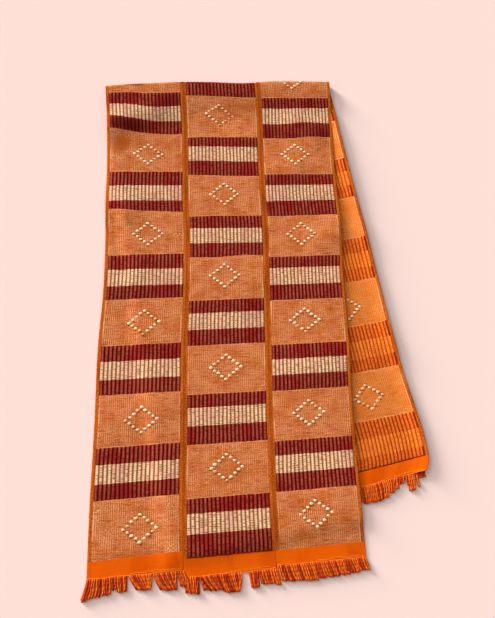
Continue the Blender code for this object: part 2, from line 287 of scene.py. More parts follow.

# Marks on the weave, each on one strip: its kind, place there, half sizes and strength. Smears darken patches
# of the blocks, dark marks darken the bands' grooves, flecks add pale specks, and the marks at the fold's
# edge are painted shade where the cloth turns over
STAIN_AND_SHADE_KINDS = ("smear", "dark", "flecks", "fold_shade")
Stain = namedtuple("Stain", "kind side x y half_across half_along strength")
STAINS_AND_SHADE = (
    Stain("smear", "left", 24.0, -90.0, 12.0, 18.0, 0.9),
    Stain("smear", "middle", 95.0, -16.0, 22.0, 9.0, 0.7),
    Stain("smear", "middle", 60.0, -590.0, 24.0, 12.0, 0.5),
    Stain("smear", "right", 40.0, -480.0, 30.0, 14.0, 0.4),
    Stain("smear", "left", 58.0, -690.0, 22.0, 9.0, 0.7),
    Stain("dark", "left", 30.0, -60.0, 36.0, 13.0, 1.0),
    Stain("dark", "left", 98.0, -12.0, 26.0, 12.0, 0.5),
    Stain("dark", "right", 18.0, -60.0, 22.0, 12.0, 0.5),
    Stain("dark", "right", 100.0, -56.0, 20.0, 12.0, 0.5),
    Stain("dark", "left", 26.0, -610.0, 34.0, 10.0, 0.4),
    # Painted shade at the fold's edge, where the cloth turns over
    Stain("fold_shade", "middle", 10.0, 20.0, 26.0, 2.6, 0.85),
    Stain("fold_shade", "left", 46.0, 13.0, 15.0, 2.6, 0.85),
    Stain("fold_shade", "left", 121.0, 18.9, 16.0, 2.6, 0.85),
    Stain("flecks", "left", 12.0, -117.0, 9.0, 6.0, 0.6),
    Stain("flecks", "left", 34.0, -104.0, 8.0, 5.0, 0.8),
    Stain("flecks", "left", 26.0, -76.0, 24.0, 5.0, 0.6),
    Stain("flecks", "left", 106.0, -242.0, 12.0, 7.0, 0.7),
    Stain("flecks", "left", 10.0, -633.0, 6.0, 14.0, 0.8),
    Stain("flecks", "left", 22.0, -655.0, 10.0, 8.0, 0.5),
    Stain("flecks", "left", 104.0, -627.0, 10.0, 7.0, 0.7),
    Stain("flecks", "left", 104.0, -679.0, 9.0, 5.0, 0.9),
    Stain("flecks", "middle", 96.0, -10.0, 26.0, 5.0, 0.6),
    Stain("flecks", "middle", 16.0, -10.0, 14.0, 5.0, 0.5),
    Stain("flecks", "middle", 20.0, -70.0, 20.0, 5.0, 0.5),
)

# The seams: small slanting stitches over each join
STITCH_SPACING = 3.2
STITCH_SPACING_SHARES = (0.85, 1.15)
STITCH_LEANS = (0.7, 1.3)
STITCH_HALF_X = 2.4
STITCH_HALF_Y = 1.0
STITCH_RADIUS = 0.42
STITCH_RISE = 0.3
STITCH_SHARES = (-1.0, -0.6, 0.0, 0.6, 1.0)
STITCH_SINK = 0.25
STITCH_TAPER = 0.35
STITCH_SIDES = 5
STITCH_PLIES = 2.0

# The fringe: tufts of yarn, with where their roots and tips lie across the cloth, how far they reach, the
# share of dark red locks in them, and how far their locks slant over the tuft
Tuft = namedtuple("Tuft", "root_start root_end tip_start tip_end reach red slant")
FRONT_TUFTS = (
    Tuft(0.3, 6.5, -6.5, 1.5, 26.0, 0.8, 0.0),
    Tuft(6.5, 11.5, 1.5, 9.0, 24.0, 0.1, 0.0),
    Tuft(11.5, 19.0, 9.0, 18.0, 22.5, 0.6, 0.0),
    Tuft(19.0, 30.0, 19.0, 30.0, 21.0, 0.5, 0.0),
    Tuft(30.0, 37.0, 30.0, 37.0, 15.5, 0.6, 0.1),
    Tuft(37.0, 50.0, 37.5, 50.0, 19.0, 0.4, 0.1),
    Tuft(51.0, 81.0, 61.0, 79.0, 18.5, 0.2, 0.3),
    Tuft(81.0, 112.0, 91.0, 112.0, 21.5, 0.35, 0.3),
    Tuft(112.0, 133.0, 116.0, 134.0, 19.5, 0.3, 0.25),
    Tuft(133.0, 140.0, 135.0, 140.0, 21.5, 0.6, 0.0),
    Tuft(140.0, 165.0, 145.0, 171.0, 18.5, 0.5, 0.3),
    Tuft(165.0, 194.5, 171.0, 191.0, 22.5, 0.35, 0.25),
    Tuft(203.0, 216.0, 206.0, 216.5, 20.0, 0.6, 0.0),
    Tuft(216.0, 233.0, 219.0, 236.0, 17.0, 0.4, 0.1),
    Tuft(233.0, 250.0, 237.0, 254.0, 19.5, 0.3, 0.1),
    Tuft(250.0, 270.0, 255.0, 275.0, 21.0, 0.4, 0.1),
    Tuft(270.0, 289.0, 275.0, 294.0, 22.5, 0.35, 0.1),
    Tuft(289.0, 300.0, 294.0, 305.0, 21.0, 0.5, 0.1),
    Tuft(300.0, 318.0, 305.0, 323.0, 20.0, 0.3, 0.1),
    Tuft(318.0, 332.0, 323.0, 337.0, 19.0, 0.4, 0.1),
    Tuft(332.0, 345.0, 337.0, 350.0, 17.5, 0.5, 0.1),
    Tuft(345.0, 359.7, 350.0, 364.0, 15.5, 0.2, 0.0),
)
BACK_TUFTS = (
    Tuft(0.5, 22.0, 0.0, 21.0, 17.0, 0.4, 0.0),
    Tuft(23.0, 51.0, 25.0, 50.0, 16.0, 0.3, 0.1),
    Tuft(51.0, 80.0, 52.0, 77.0, 18.0, 0.4, 0.1),
    Tuft(81.0, 119.0, 83.0, 118.0, 16.0, 0.3, 0.1),
    Tuft(120.0, 148.0, 119.0, 146.0, 17.0, 0.4, 0.0),
    Tuft(149.0, 177.0, 149.0, 175.0, 18.0, 0.4, 0.1),
    Tuft(178.0, 212.0, 177.0, 210.0, 16.0, 0.3, 0.0),
    Tuft(213.0, 239.0, 212.0, 238.0, 17.0, 0.4, 0.1),
    Tuft(240.5, 262.0, 239.0, 261.0, 20.0, 0.4, 0.0),
    Tuft(262.0, 276.0, 261.0, 275.0, 23.0, 0.6, 0.0),
    Tuft(276.0, 290.0, 275.0, 289.0, 24.0, 0.3, 0.0),
    Tuft(290.0, 303.0, 288.0, 300.0, 22.5, 0.4, 0.0),
    Tuft(303.0, 312.0, 300.0, 309.0, 18.5, 0.4, 0.0),
    Tuft(312.0, 320.0, 309.0, 317.0, 15.0, 0.6, 0.0),
    Tuft(320.0, 330.0, 317.0, 326.0, 10.0, 0.6, 0.0),
    Tuft(330.0, 333.5, 330.0, 333.0, 14.0, 0.8, 0.0),
    Tuft(333.5, 345.0, 331.0, 340.0, 23.0, 0.5, 0.2),
    Tuft(345.0, 349.0, 345.0, 349.0, 20.0, 0.7, 0.0),
    Tuft(350.0, 359.7, 350.0, 361.0, 9.0, 0.8, 0.0),
)
FRINGE_SEED = 11
YARN_RADIUS = 0.92
YARN_SIDES = 6
YARN_ROOT_INSET = 1.2
YARN_BEND = 1.1
YARN_FLARE = 1.3
MAT_SPACING = 1.5
MAT_RINGS = 6
MAT_REACH = 0.94
MAT_SHORTEST = 0.94
MAT_PLIES = 3.0
MAT_DYE = 0.5
MAT_DYE_SPREAD = 0.25
MAT_SETTLE = 3
LOCK_WIDTH = 3.1
LOCK_YARNS = 3
LOCK_RADIUS = 0.62
LOCK_TURNS = 0.5
LOCK_PLIES = 4.0
LOCK_ROOT_SPREAD = 0.35
LOCK_OPENING = 3
LOCK_FLARE = 0.35
LOCK_MARGIN = 0.4
LOCK_RINGS = 12
LOCK_LIFT = 0.9
LOCK_SHORTEST = 0.93
LOCK_DYE_SPREAD = 0.08
LOCK_RISE = 6
LOCK_TIP_SHARE = 0.7
LOCK_TIP_LENGTH = 0.05
PALE_DYE = 0.0
ORANGE_DYE = 0.3
RED_DYE = 0.7
DARK_DYE = 1.0
RED_LOCK_DYES = (RED_DYE, 0.9 * DARK_DYE)
ORANGE_LOCK_DYES = (0.8 * ORANGE_DYE, 0.5)

# The last wefts at each end: threads a little apart, each along part of the strip's width
EndThread = namedtuple("EndThread", "offset start end")
END_THREADS = (
    EndThread(0.7, 0.01, 0.99),
    EndThread(2.4, 0.45, 0.99),
    EndThread(3.9, 0.6, 0.93),
)
THREAD_RADIUS = 0.36
THREAD_RINGS = 60
THREAD_WANDER = 0.35
THREAD_WAVES = (9.0, 4.3)
THREAD_PLIES = 60.0

# How fine the noises of the weave are, in cells per millimetre across and along, and their detail
Grain = namedtuple("Grain", "across along detail", defaults=(2.0,))
RIB_WANDER = Grain(0.09, 0.05)
RIB_UNEVEN = Grain(5.37, 0.42)
BAND_PATCHES = Grain(0.035, 0.02, 3.0)
BAND_FLECKS = Grain(0.55, 0.6)
BLOCK_SHADES = Grain(0.035, 0.045, 3.0)
BLOCK_PATCHES = Grain(0.04, 0.05, 3.0)
BLOCK_WEFTS = Grain(0.07, 0.55, 3.0)
BLOCK_FLECKS = Grain(0.62, 0.7)
SIDE_WEAR = Grain(0.01, 0.03)
SIDE_DOTS = Grain(1.0, 0.35, 1.0)
PALE_SPECKS = Grain(0.5, 0.5, 1.0)
PLAIN_STREAKS = Grain(0.55, 0.03, 3.0)
PLAIN_CLOUDS = Grain(0.04, 0.015)
PLAIN_FLECKS = Grain(0.6, 0.5, 1.0)
FLOAT_STRANDS = Grain(0.4, 1.8)

# Marks in a colour: the value at which each starts and is full, and its strength there
Mark = namedtuple("Mark", "start full strength", defaults=(1.0,))
# The next two marks: where the ribs' grooves get painted shade, and where their tops get a painted highlight
GROOVE = Mark(0.24, 0.43)
CREST_HIGHLIGHT = Mark(0.25, 0.03)
BAND_PATCH = Mark(0.46, 0.6)
BAND_FLECK = Mark(0.56, 0.74, 0.6)
BRIGHT_YARN = Mark(0.34, 0.6)
DULL_PATCH = Mark(0.4, 0.66)
WEFT_TICK = Mark(0.0, 0.9)
WEFT_GAP = Mark(-0.5, -0.95)
BROKEN_RIB = Mark(0.52, 0.38)
BLOCK_ROSY = Mark(0.38, 0.62)
BLOCK_LINE = Mark(0.36, 0.1, 0.86)
LINE_PATCH = Mark(0.35, 0.65)
WEFT_STREAK = Mark(0.5, 0.68, 0.65)
WEFT_LINE = Mark(0.44, 0.3, 0.4)
PALE_FLECK = Mark(0.55, 0.72, 0.8)
DARK_FLECK = Mark(0.46, 0.32, 0.7)
SIDE_LINE = Mark(SELVAGE + 2.2, SELVAGE + 1.2, 0.55)
SIDE_WORN = Mark(0.42, 0.6)
SIDE_DOT = Mark(0.3, 0.55)
PALE_SPECK = Mark(0.56, 0.64)
LIGHT_STREAK = Mark(0.5, 0.75)
THREAD_GAP = Mark(0.0, -1.0, 0.3)
# The next mark: darker blotches along the warp, partly uneven colour and partly painted shade of soft folds
DARK_CLOUD = Mark(0.48, 0.7, 0.6)
LIGHT_FLECKS = Mark(0.52, 0.7)
DARK_FLECKS = Mark(0.46, 0.3)
ROSY_STRAND = Mark(0.4, 0.7)
DULL_FLOAT = Mark(0.05, DULL_DYE)
SHADE_FLOAT = Mark(0.7, 0.9)
# The next mark: painted shade in the gaps between a yarn's plies
PLY_GAP = Mark(0.2, -1.0, 0.18)

# Threads and unevenness that the materials draw, and how each kind of surface takes the light
RIB_SHIFT = 1.2
RIB_NUMBERS_PER_STRIP = 41.0
RIB_DYE_SHARE = 0.45
BRIGHTEST_PATCH = 1.2
TICK_STRAY = 0.7
BREAK_SHARE = 0.3
BREAK_MOST = 0.85
LINE_DYE_SHARE = 0.5
RIB_STRAND = 0.92
STRAND_RELIEF = 0.25
UNEVEN_RELIEF = 0.8
FLECK_RELIEF = 2.0
THREAD_RELIEF = 0.5
WARP_THREAD = 0.9
WEFT_THREAD = 1.1
MATT_SPECULAR = 0.04
Surface = namedtuple("Surface", "bump roughness")
BAND_SURFACE = Surface(0.25, 0.9)
BLOCK_SURFACE = Surface(0.14, 0.92)
PLAIN_SURFACE = Surface(0.15, 0.88)
FLOAT_SURFACE = Surface(0.25, 0.9)
YARN_SURFACE = Surface(0.12, 0.88)

# Colour codes of the weave on its face and its reverse, among them painted highlights and painted shade, of
# the yarns and of the floor, and its roughness
# In each band the crest colour is a painted highlight along the tops of the ribs, and the groove colour is
# painted shade in the grooves, also used for broken ribs and darker patches
BandColours = namedtuple("BandColours", "crest side patch groove fleck tick stained")
FACE_DARK = BandColours(0xAE5844, 0x8C2A1C, 0x8E1C18, 0x4C0000, 0xA44030, 0.15, 0.75)
FACE_CREAM = BandColours(0xFFDCB8, 0xDCA072, 0xE0A080, 0x764418, 0xFFD6B6, 0.75, 0.0)
REVERSE_DARK = BandColours(0xEC782C, 0xD65A18, 0xDA6020, 0x962E00, 0xF09450, 0.3, 0.0)
REVERSE_CREAM = BandColours(0xFA8C3C, 0xE46A1C, 0xEC7428, 0xB24C04, 0xFFB070, 0.25, 0.0)
BlockColours = namedtuple("BlockColours", "golden rosy line streak pale smear")
FACE_BLOCK = BlockColours(0xCA6422, 0xCC6638, 0xF0A26C, 0x963E06, 0xFFCC98, 0xBC5810)
REVERSE_BLOCK = BlockColours(0xDE7022, 0xE07830, 0xEE9850, 0xD06018, 0xFFC490, 0xCC6010)
PlainColours = namedtuple("PlainColours", "ground dark light thread_pitch flecked")
SELVAGE_COLOURS = PlainColours(0xC25A12, 0x882E02, 0xE07C34, 1.2, 0.8)
HEM_COLOURS = PlainColours(0xEC5F02, 0xD44A00, 0xF0690C, 0.9, 0.12)
JOIN_COLOURS = PlainColours(0x822004, 0x661202, 0xA03A10, 1.0, 0.5)
FACE_LINE = PlainColours(0xDA8654, 0xBE622C, 0xF0AC78, 1.0, 0.6)
REVERSE_LINE = PlainColours(0xE68848, 0xD06424, 0xF8B080, 1.0, 0.7)
YarnColours = namedtuple("YarnColours", "pale orange red dark")
SEAM_COLOURS = YarnColours(0xD07020, 0xC45C12, 0xB04E0C, 0x8A3A08)
FRINGE_COLOURS = YarnColours(0xF68424, 0xDA621E, 0xC24418, 0x861A0A)
FLOAT_CREAM = 0xFFDAAC
FLOAT_ROSY = 0xF4B484
FLOAT_DULL = 0xE2935C
# Colour of the dark pads beside the floats: painted shade, together with the darker ground between them
PAINTED_FLOAT_SHADE = 0x984824
# Colour of the painted shade at the fold's edge
PAINTED_FOLD_SHADE = 0x5A2210
FLOOR_COLOUR = 0xFCDFD7
FLOOR_ROUGHNESS = 0.95

# The camera and the light
CAMERA_PLACE = (-0.12875, -0.25553, 0.8390)
CAMERA_FORWARD = (0.1234, 0.2797, -0.9521)
CAMERA_UP = (-0.0087, 0.9597, 0.2808)
CAMERA_LENS = 34.95
FLOOR_SIZE = 6.0
FLOOR_DROP = 0.0002
LIGHT_COLOUR = (1.0, 0.985, 0.97)
LIGHT_HEADING = (0.74, -0.67)
Light = namedtuple("Light", "name elevation angle share")
LIGHTS = (
    Light("key", math.radians(33.0), math.radians(26.0), 0.2),
    Light("low_fill", math.radians(9.5), math.radians(19.0), 0.39),
)
WORLD_COLOUR = (1.0, 1.0, 1.0)
WORLD_STRENGTH = 0.431


def srgb(code):
    """Linear colour with alpha from a colour code of six hexadecimal digits."""
    channels = [(code >> shift & 255) / 255 for shift in (16, 8, 0)]
    linear = [c / 12.92 if c <= 0.04045 else ((c + 0.055) / 1.055) ** 2.4 for c in channels]
    return (*linear, 1.0)


def smooth_table(position, keys, values):
    """Read a short table at any position, along a smooth curve through its rows."""
    keys = np.asarray(keys, dtype=float)
    values = np.asarray(values, dtype=float)
    slopes = np.gradient(values, keys)
    place = np.clip(position, keys[0], keys[-1])
    index = np.clip(np.searchsorted(keys, place, side="right") - 1, 0, len(keys) - 2)
    span = keys[index + 1] - keys[index]
    t = (place - keys[index]) / span
    start = values[index] * (1 + 2 * t) * (1 - t) ** 2 + values[index + 1] * t ** 2 * (3 - 2 * t)
    lean = slopes[index] * t * (1 - t) ** 2 - slopes[index + 1] * t ** 2 * (1 - t)
    return start + span * lean


def ease(t):
    """Fall smoothly from 1 at t = 0 to 0 at t = 1."""
    return 0.5 + 0.5 * np.cos(np.pi * np.clip(t, 0.0, 1.0))


def stray(rows, across, distance):
    """Sideways stray of the cloth between its two outer edges."""
    distances = [row.distance for row in rows]
    left = smooth_table(distance, distances, [row.left for row in rows])
    right = smooth_table(distance, distances, [row.right for row in rows])
    share = across / (len(STRIPS) * STRIP_WIDTH)
    return left + (right - left) * share


def fold_coordinates(x, y):
    """Turn open-frame places into a length along the fold and a signed length past its outermost line."""
    rise = y - FOLD_START
    along = x * math.cos(FOLD_LEAN) + rise * math.sin(FOLD_LEAN)
    past = rise * math.cos(FOLD_LEAN) - x * math.sin(FOLD_LEAN) - FOLD_TAKE_UP
    return along, past


def open_y_of_fold(x, past):
    """Open-frame y of the place on the cloth that lies a length past the fold's outermost line."""
    return FOLD_START + x * math.tan(FOLD_LEAN) + (past + FOLD_TAKE_UP) / math.cos(FOLD_LEAN)


def back_cover(along, inward):
    """Share of the front layer's lift: 1 over the back layer, 0 where it lies on the surface."""
    across = along * math.cos(FOLD_LEAN) - inward * math.sin(FOLD_LEAN)
    length = along * math.sin(FOLD_LEAN) + inward * math.cos(FOLD_LEAN) + FOLD_START
    back_end = max(strip.back_end for strip in STRIPS) + FRINGE_REACH
    past_side = ease((-across - EDGE_CLEARANCE) / DROP_WIDTH)
    past_end = ease((length - back_end - EDGE_CLEARANCE) / DROP_WIDTH)
    return past_side * past_end


def ridge_height(ridges, x, y):
    """Height that soft ridges add to a layer."""
    total = np.zeros_like(x)
    for ridge in ridges:
        run = np.array([ridge.x1 - ridge.x0, ridge.y1 - ridge.y0])
        length = np.hypot(*run)
        t = ((x - ridge.x0) * run[0] + (y - ridge.y0) * run[1]) / length ** 2
        t = np.clip(t, 0.0, 1.0)
        distance = np.hypot(x - ridge.x0 - t * run[0], y - ridge.y0 - t * run[1])
        total = total + ridge.rise * np.exp(-(distance / ridge.half_width) ** 2)
    return total


def weave_pull(x, y):
    """Length by which the weave is pulled towards the front end."""
    total = np.zeros_like(x)
    for pull in PULLS:
        distance = ((x - pull.x) / pull.half_across) ** 2 + ((y - pull.y) / pull.half_along) ** 2
        total = total + pull.amount * np.exp(-distance)
    return total


def middle_surface(x, y):
    """Places of the cloth's middle surface, from the open frame to the plan frame."""
    x = np.asarray(x, dtype=float)
    y = np.asarray(y, dtype=float)
    along, past = fold_coordinates(x, y)
    turn = np.clip(past / FOLD_RADIUS, -math.pi / 2, math.pi / 2)
    beyond = np.maximum(np.abs(past) - FOLD_QUARTER, 0.0)
    inward = FOLD_RADIUS * (1 - np.cos(turn)) + beyond
    loop_height = THICKNESS / 2 + FOLD_RADIUS * (1 - np.sin(turn))

    is_front = past < 0
    sideways = np.where(is_front, stray(FRONT_STRAY, x, inward), stray(BACK_STRAY, x, inward))
    bulge = smooth_table(along, [row.across for row in FOLD_BULGES], [row.bulge for row in FOLD_BULGES])
    reach = inward - bulge * ease(inward / BULGE_REACH)
    plan_x = along * math.cos(FOLD_LEAN) + reach * math.sin(FOLD_LEAN) + sideways
    plan_y = FOLD_START + along * math.sin(FOLD_LEAN) - reach * math.cos(FOLD_LEAN)
    plan_y = plan_y - np.where(is_front, weave_pull(x, y), 0.0)

    settled = THICKNESS / 2 + FRONT_LIFT * back_cover(along, inward)
    rise_left = ease(beyond / FOLD_SETTLE)
    front_ridges = ridge_height(RIDGES, plan_x, plan_y) * (1 - rise_left)
    front_height = settled + (loop_height - settled) * rise_left + front_ridges
    curl = smooth_table(beyond, [row.distance for row in EDGE_CURLS], [row.rise for row in EDGE_CURLS])
    curl = curl * np.exp(-((len(STRIPS) * STRIP_WIDTH - x) / CURL_WIDTH) ** 2)
    back_height = loop_height + ridge_height(BACK_RIDGES, plan_x, plan_y) + curl
    plan_z = np.where(is_front & (beyond > 0), front_height, np.where(beyond > 0, back_height, loop_height))
    return np.stack([plan_x, plan_y, plan_z], axis=-1)


def outward_normal(x, y):
    """Unit normal of the face that is up on the front layer and outside on the fold."""
    step = 0.5
    across = middle_surface(x + step, y) - middle_surface(x - step, y)
    along = middle_surface(x, y + step) - middle_surface(x, y - step)
    normal = np.cross(across, along)
    return normal / np.linalg.norm(normal, axis=-1, keepdims=True)


def to_world(points):
    """Plan frame in millimetres to the part's own frame in metres."""
    return (points - np.array([CENTRE_X, CENTRE_Y, 0.0])) * MM


class Graph:
    """One material, with short calls that add and join its nodes."""

    def __init__(self, name):
        self.material = bpy.data.materials.new(name)
        self.material.use_nodes = True
        self.tree = self.material.node_tree
        self.shader = self.tree.nodes["Principled BSDF"]

    def feed(self, socket, value):
        if isinstance(value, bpy.types.NodeSocket):
            self.tree.links.new(value, socket)
        else:
            socket.default_value = value

    def node(self, kind, *values, **settings):
        made = self.tree.nodes.new(kind)
        for key, setting in settings.items():
            setattr(made, key, setting)
        for socket, value in zip(made.inputs, values):
            self.feed(socket, value)
        return made

    def math(self, operation, *values):
        return self.node("ShaderNodeMath", *values, operation=operation).outputs[0]

    def plus(self, first, second):
        return self.math("ADD", first, second)

    def minus(self, first, second):
        return self.math("SUBTRACT", first, second)

    def times(self, first, second):
        return self.math("MULTIPLY", first, second)

    def over(self, first, second):
        return self.math("DIVIDE", first, second)

    def least(self, first, second):
        return self.math("MINIMUM", first, second)

    def most(self, first, second):
        return self.math("MAXIMUM", first, second)

    def floor(self, value):
        return self.math("FLOOR", value)

    def wave(self, value, period=1.0):
        return self.math("SINE", self.times(value, 2 * math.pi / period))

    def off_middle(self, value):
        """Distance of a number's fraction from one half."""
        return self.math("ABSOLUTE", self.minus(self.math("FRACT", value), 0.5))

    def step(self, value, mark):
        """Rise smoothly from 0 to 1 between a mark's two values."""
        ends = (mark.start, mark.full, 0.0, 1.0)
        return self.node("ShaderNodeMapRange", value, *ends, interpolation_type="SMOOTHSTEP").outputs[0]

    def mix(self, share, first, second):
        """Mix two colours, each of them a socket or a colour code."""
        made = self.node("ShaderNodeMix", data_type="RGBA")
        self.feed(made.inputs[0], share)
        for index, colour in ((6, first), (7, second)):
            self.feed(made.inputs[index], srgb(colour) if isinstance(colour, int) else colour)
        return made.outputs[2]

    def mark(self, colour, value, mark, other):
        """Turn a colour into another one where a value brings a mark up."""
        return self.mix(self.times(self.step(value, mark), mark.strength), colour, other)

    def noise(self, x, y, grain):
        """Even noise from 0 to 1 at a place."""
        cells = (self.times(x, grain.across), self.times(y, grain.along), 0.0)
        place = self.node("ShaderNodeCombineXYZ", *cells)
        made = self.node("ShaderNodeTexNoise")
        self.feed(made.inputs["Vector"], place.outputs[0])
        self.feed(made.inputs["Scale"], 1.0)
        self.feed(made.inputs["Detail"], grain.detail)
        return made.outputs[0]

    def random(self, value):
        """Random number from 0 to 1 that depends on a whole number."""
        made = self.node("ShaderNodeTexWhiteNoise", noise_dimensions="1D")
        self.feed(made.inputs["W"], value)
        return made.outputs[0]

    def attribute(self, name):
        return self.node("ShaderNodeAttribute", attribute_name=name).outputs["Fac"]

    def weave_map(self):
        return self.node("ShaderNodeUVMap", uv_map="weave").outputs[0]

    def first_two(self, place, scale):
        """The first two parts of a place, each times a scale."""
        split = self.node("ShaderNodeSeparateXYZ", place)
        return [self.times(part, scale) for part in split.outputs[:2]]

    def cloth_place(self):
        """Millimetres across the cloth and along its warp, and across its own strip."""
        across, along = self.first_two(self.weave_map(), 1 / MM)
        return across, along, self.math("MODULO", across, STRIP_WIDTH)

    def finish(self, colour, height, surface):
        """Join colour and relief to the shader."""
        self.feed(self.shader.inputs["Base Color"], colour)
        self.feed(self.shader.inputs["Roughness"], surface.roughness)
        self.feed(self.shader.inputs["Specular IOR Level"], MATT_SPECULAR)
        bump = self.node("ShaderNodeBump")
        self.feed(bump.inputs["Strength"], 1.0)
        self.feed(bump.inputs["Distance"], surface.bump * MM)
        self.feed(bump.inputs["Height"], height)
        self.tree.links.new(bump.outputs[0], self.shader.inputs["Normal"])
        return self.material


def band_material(name, colours):
    """Ribs of thick yarn: a painted highlight along their crests, mid sides in two shades, and painted shade
    in the grooves, dotted by the wefts.
    """
    graph = Graph(name)
    across, along, local = graph.cloth_place()
    shift = graph.times(graph.minus(graph.noise(across, along, RIB_WANDER), 0.5), RIB_SHIFT)
    rib = graph.over(graph.plus(graph.minus(local, SELVAGE), shift), RIB_PITCH)
    strip_number = graph.floor(graph.over(across, STRIP_WIDTH))
    number = graph.plus(graph.floor(rib), graph.times(strip_number, RIB_NUMBERS_PER_STRIP))
    # Painted shade in the grooves between the ribs, and a painted highlight along their tops
    in_groove = graph.step(graph.off_middle(rib), GROOVE)
    crest_highlight = graph.step(graph.off_middle(rib), CREST_HIGHLIGHT)

    dye = graph.random(number)
    uneven = graph.noise(number, along, RIB_UNEVEN)
    patches = graph.noise(across, along, BAND_PATCHES)
    colour = graph.mark(colours.side, patches, BAND_PATCH, colours.patch)
    # How strong the painted highlight is on each rib, weaker in dull patches
    highlight_strength = graph.plus(graph.times(dye, RIB_DYE_SHARE), graph.step(uneven, BRIGHT_YARN))
    highlight_strength = graph.times(highlight_strength, graph.minus(BRIGHTEST_PATCH, graph.step(patches, DULL_PATCH)))
    colour = graph.mix(graph.times(crest_highlight, graph.least(highlight_strength, 1.0)), colour, colours.crest)
    flecks = graph.noise(across, along, BAND_FLECKS)
    colour = graph.mark(colour, flecks, BAND_FLECK, colours.fleck)

    weft = graph.wave(graph.plus(graph.over(along, WEFT_PITCH), graph.times(dye, TICK_STRAY)))
    tick = graph.times(graph.step(weft, WEFT_TICK), colours.tick)
    dark = graph.times(in_groove, graph.minus(1.0, tick))
    gap = graph.times(graph.step(weft, WEFT_GAP), colours.tick)
    broken = graph.times(graph.step(uneven, BROKEN_RIB), graph.plus(gap, BREAK_SHARE))
    dark = graph.most(dark, graph.least(broken, BREAK_MOST))
    # Patches where the grooves turn darker, from the dark marks
    dark = graph.most(dark, graph.times(graph.attribute("dark"), colours.stained))
    # Painted shade in the grooves, together with the broken ribs and the darker patches
    colour = graph.mix(dark, colour, colours.groove)
    # Painted shade at the fold's edge
    colour = graph.mix(graph.attribute("fold_shade"), colour, PAINTED_FOLD_SHADE)
    relief = graph.plus(graph.times(graph.wave(local, RIB_STRAND), STRAND_RELIEF), flecks)
    relief = graph.minus(graph.plus(relief, graph.times(uneven, UNEVEN_RELIEF)), in_groove)
    return graph.finish(colour, relief, BAND_SURFACE)


def block_material(name, colours):
    """Plain ground of fine warp lines in two shades, with flecks, streaks along the wefts and side lines."""
    graph = Graph(name)
    across, along, local = graph.cloth_place()
    colour = graph.mark(colours.golden, graph.noise(across, along, BLOCK_SHADES), BLOCK_ROSY, colours.rosy)
    line = graph.over(graph.minus(local, SELVAGE), LINE_PITCH)
    dye = graph.random(graph.floor(graph.over(across, LINE_PITCH)))
    patches = graph.noise(across, along, BLOCK_PATCHES)
    strength = graph.plus(graph.times(dye, LINE_DYE_SHARE), graph.step(patches, LINE_PATCH))
    line_share = graph.least(graph.times(graph.step(graph.off_middle(line), BLOCK_LINE), strength), 1.0)
    colour = graph.mix(graph.times(line_share, BLOCK_LINE.strength), colour, colours.line)
    wefts = graph.noise(across, along, BLOCK_WEFTS)
    colour = graph.mark(colour, wefts, WEFT_STREAK, colours.streak)
    colour = graph.mark(colour, wefts, WEFT_LINE, colours.line)
    flecks = graph.noise(across, along, BLOCK_FLECKS)
    colour = graph.mark(colour, flecks, PALE_FLECK, colours.line)
    colour = graph.mark(colour, flecks, DARK_FLECK, colours.streak)
    colour = graph.mix(graph.attribute("smear"), colour, colours.smear)
    # Painted shade at the fold's edge
    colour = graph.mix(graph.attribute("fold_shade"), colour, PAINTED_FOLD_SHADE)

    from_side = graph.least(local, graph.minus(STRIP_WIDTH, local))
    worn = graph.step(graph.noise(across, along, SIDE_WEAR), SIDE_WORN)
    dotted = graph.step(graph.noise(across, along, SIDE_DOTS), SIDE_DOT)
    side_share = graph.times(graph.times(graph.step(from_side, SIDE_LINE), worn), dotted)
    specks = graph.step(graph.noise(across, along, PALE_SPECKS), PALE_SPECK)
    speck_share = graph.times(graph.attribute("flecks"), specks)
    pale_share = graph.most(graph.times(side_share, SIDE_LINE.strength), speck_share)
    colour = graph.mix(pale_share, colour, colours.pale)
    threads = graph.times(graph.wave(local, WARP_THREAD), graph.wave(along, WEFT_THREAD))
    relief = graph.plus(graph.plus(threads, wefts), graph.times(flecks, FLECK_RELIEF))
    return graph.finish(colour, relief, BLOCK_SURFACE)


def plain_material(name, colours, runs_along=False):
    """One-colour weave whose fine threads run along the warp or the weft, and which may be flecked, with
    darker blotches along the warp that are partly uneven colour and partly painted shade of soft folds.
    """
    graph = Graph(name)
    across, along, _ = graph.cloth_place()
    place, run = (across, along) if runs_along else (along, across)
    thread = graph.wave(place, colours.thread_pitch)
    streaks = graph.noise(place, run, PLAIN_STREAKS)
    flecks = graph.noise(across, along, PLAIN_FLECKS)
    colour = graph.mark(colours.ground, streaks, LIGHT_STREAK, colours.light)
    colour = graph.mark(colour, thread, THREAD_GAP, colours.dark)
    # Darker blotches along the warp: partly uneven colour, partly painted shade of soft folds
    colour = graph.mark(colour, graph.noise(across, along, PLAIN_CLOUDS), DARK_CLOUD, colours.dark)
    colour = graph.mark(colour, flecks, LIGHT_FLECKS._replace(strength=colours.flecked), colours.light)
    colour = graph.mark(colour, flecks, DARK_FLECKS._replace(strength=colours.flecked), colours.dark)
    # Painted shade at the fold's edge
    colour = graph.mix(graph.attribute("fold_shade"), colour, PAINTED_FOLD_SHADE)
    relief = graph.plus(graph.times(thread, THREAD_RELIEF), streaks)
    return graph.finish(colour, relief, PLAIN_SURFACE)


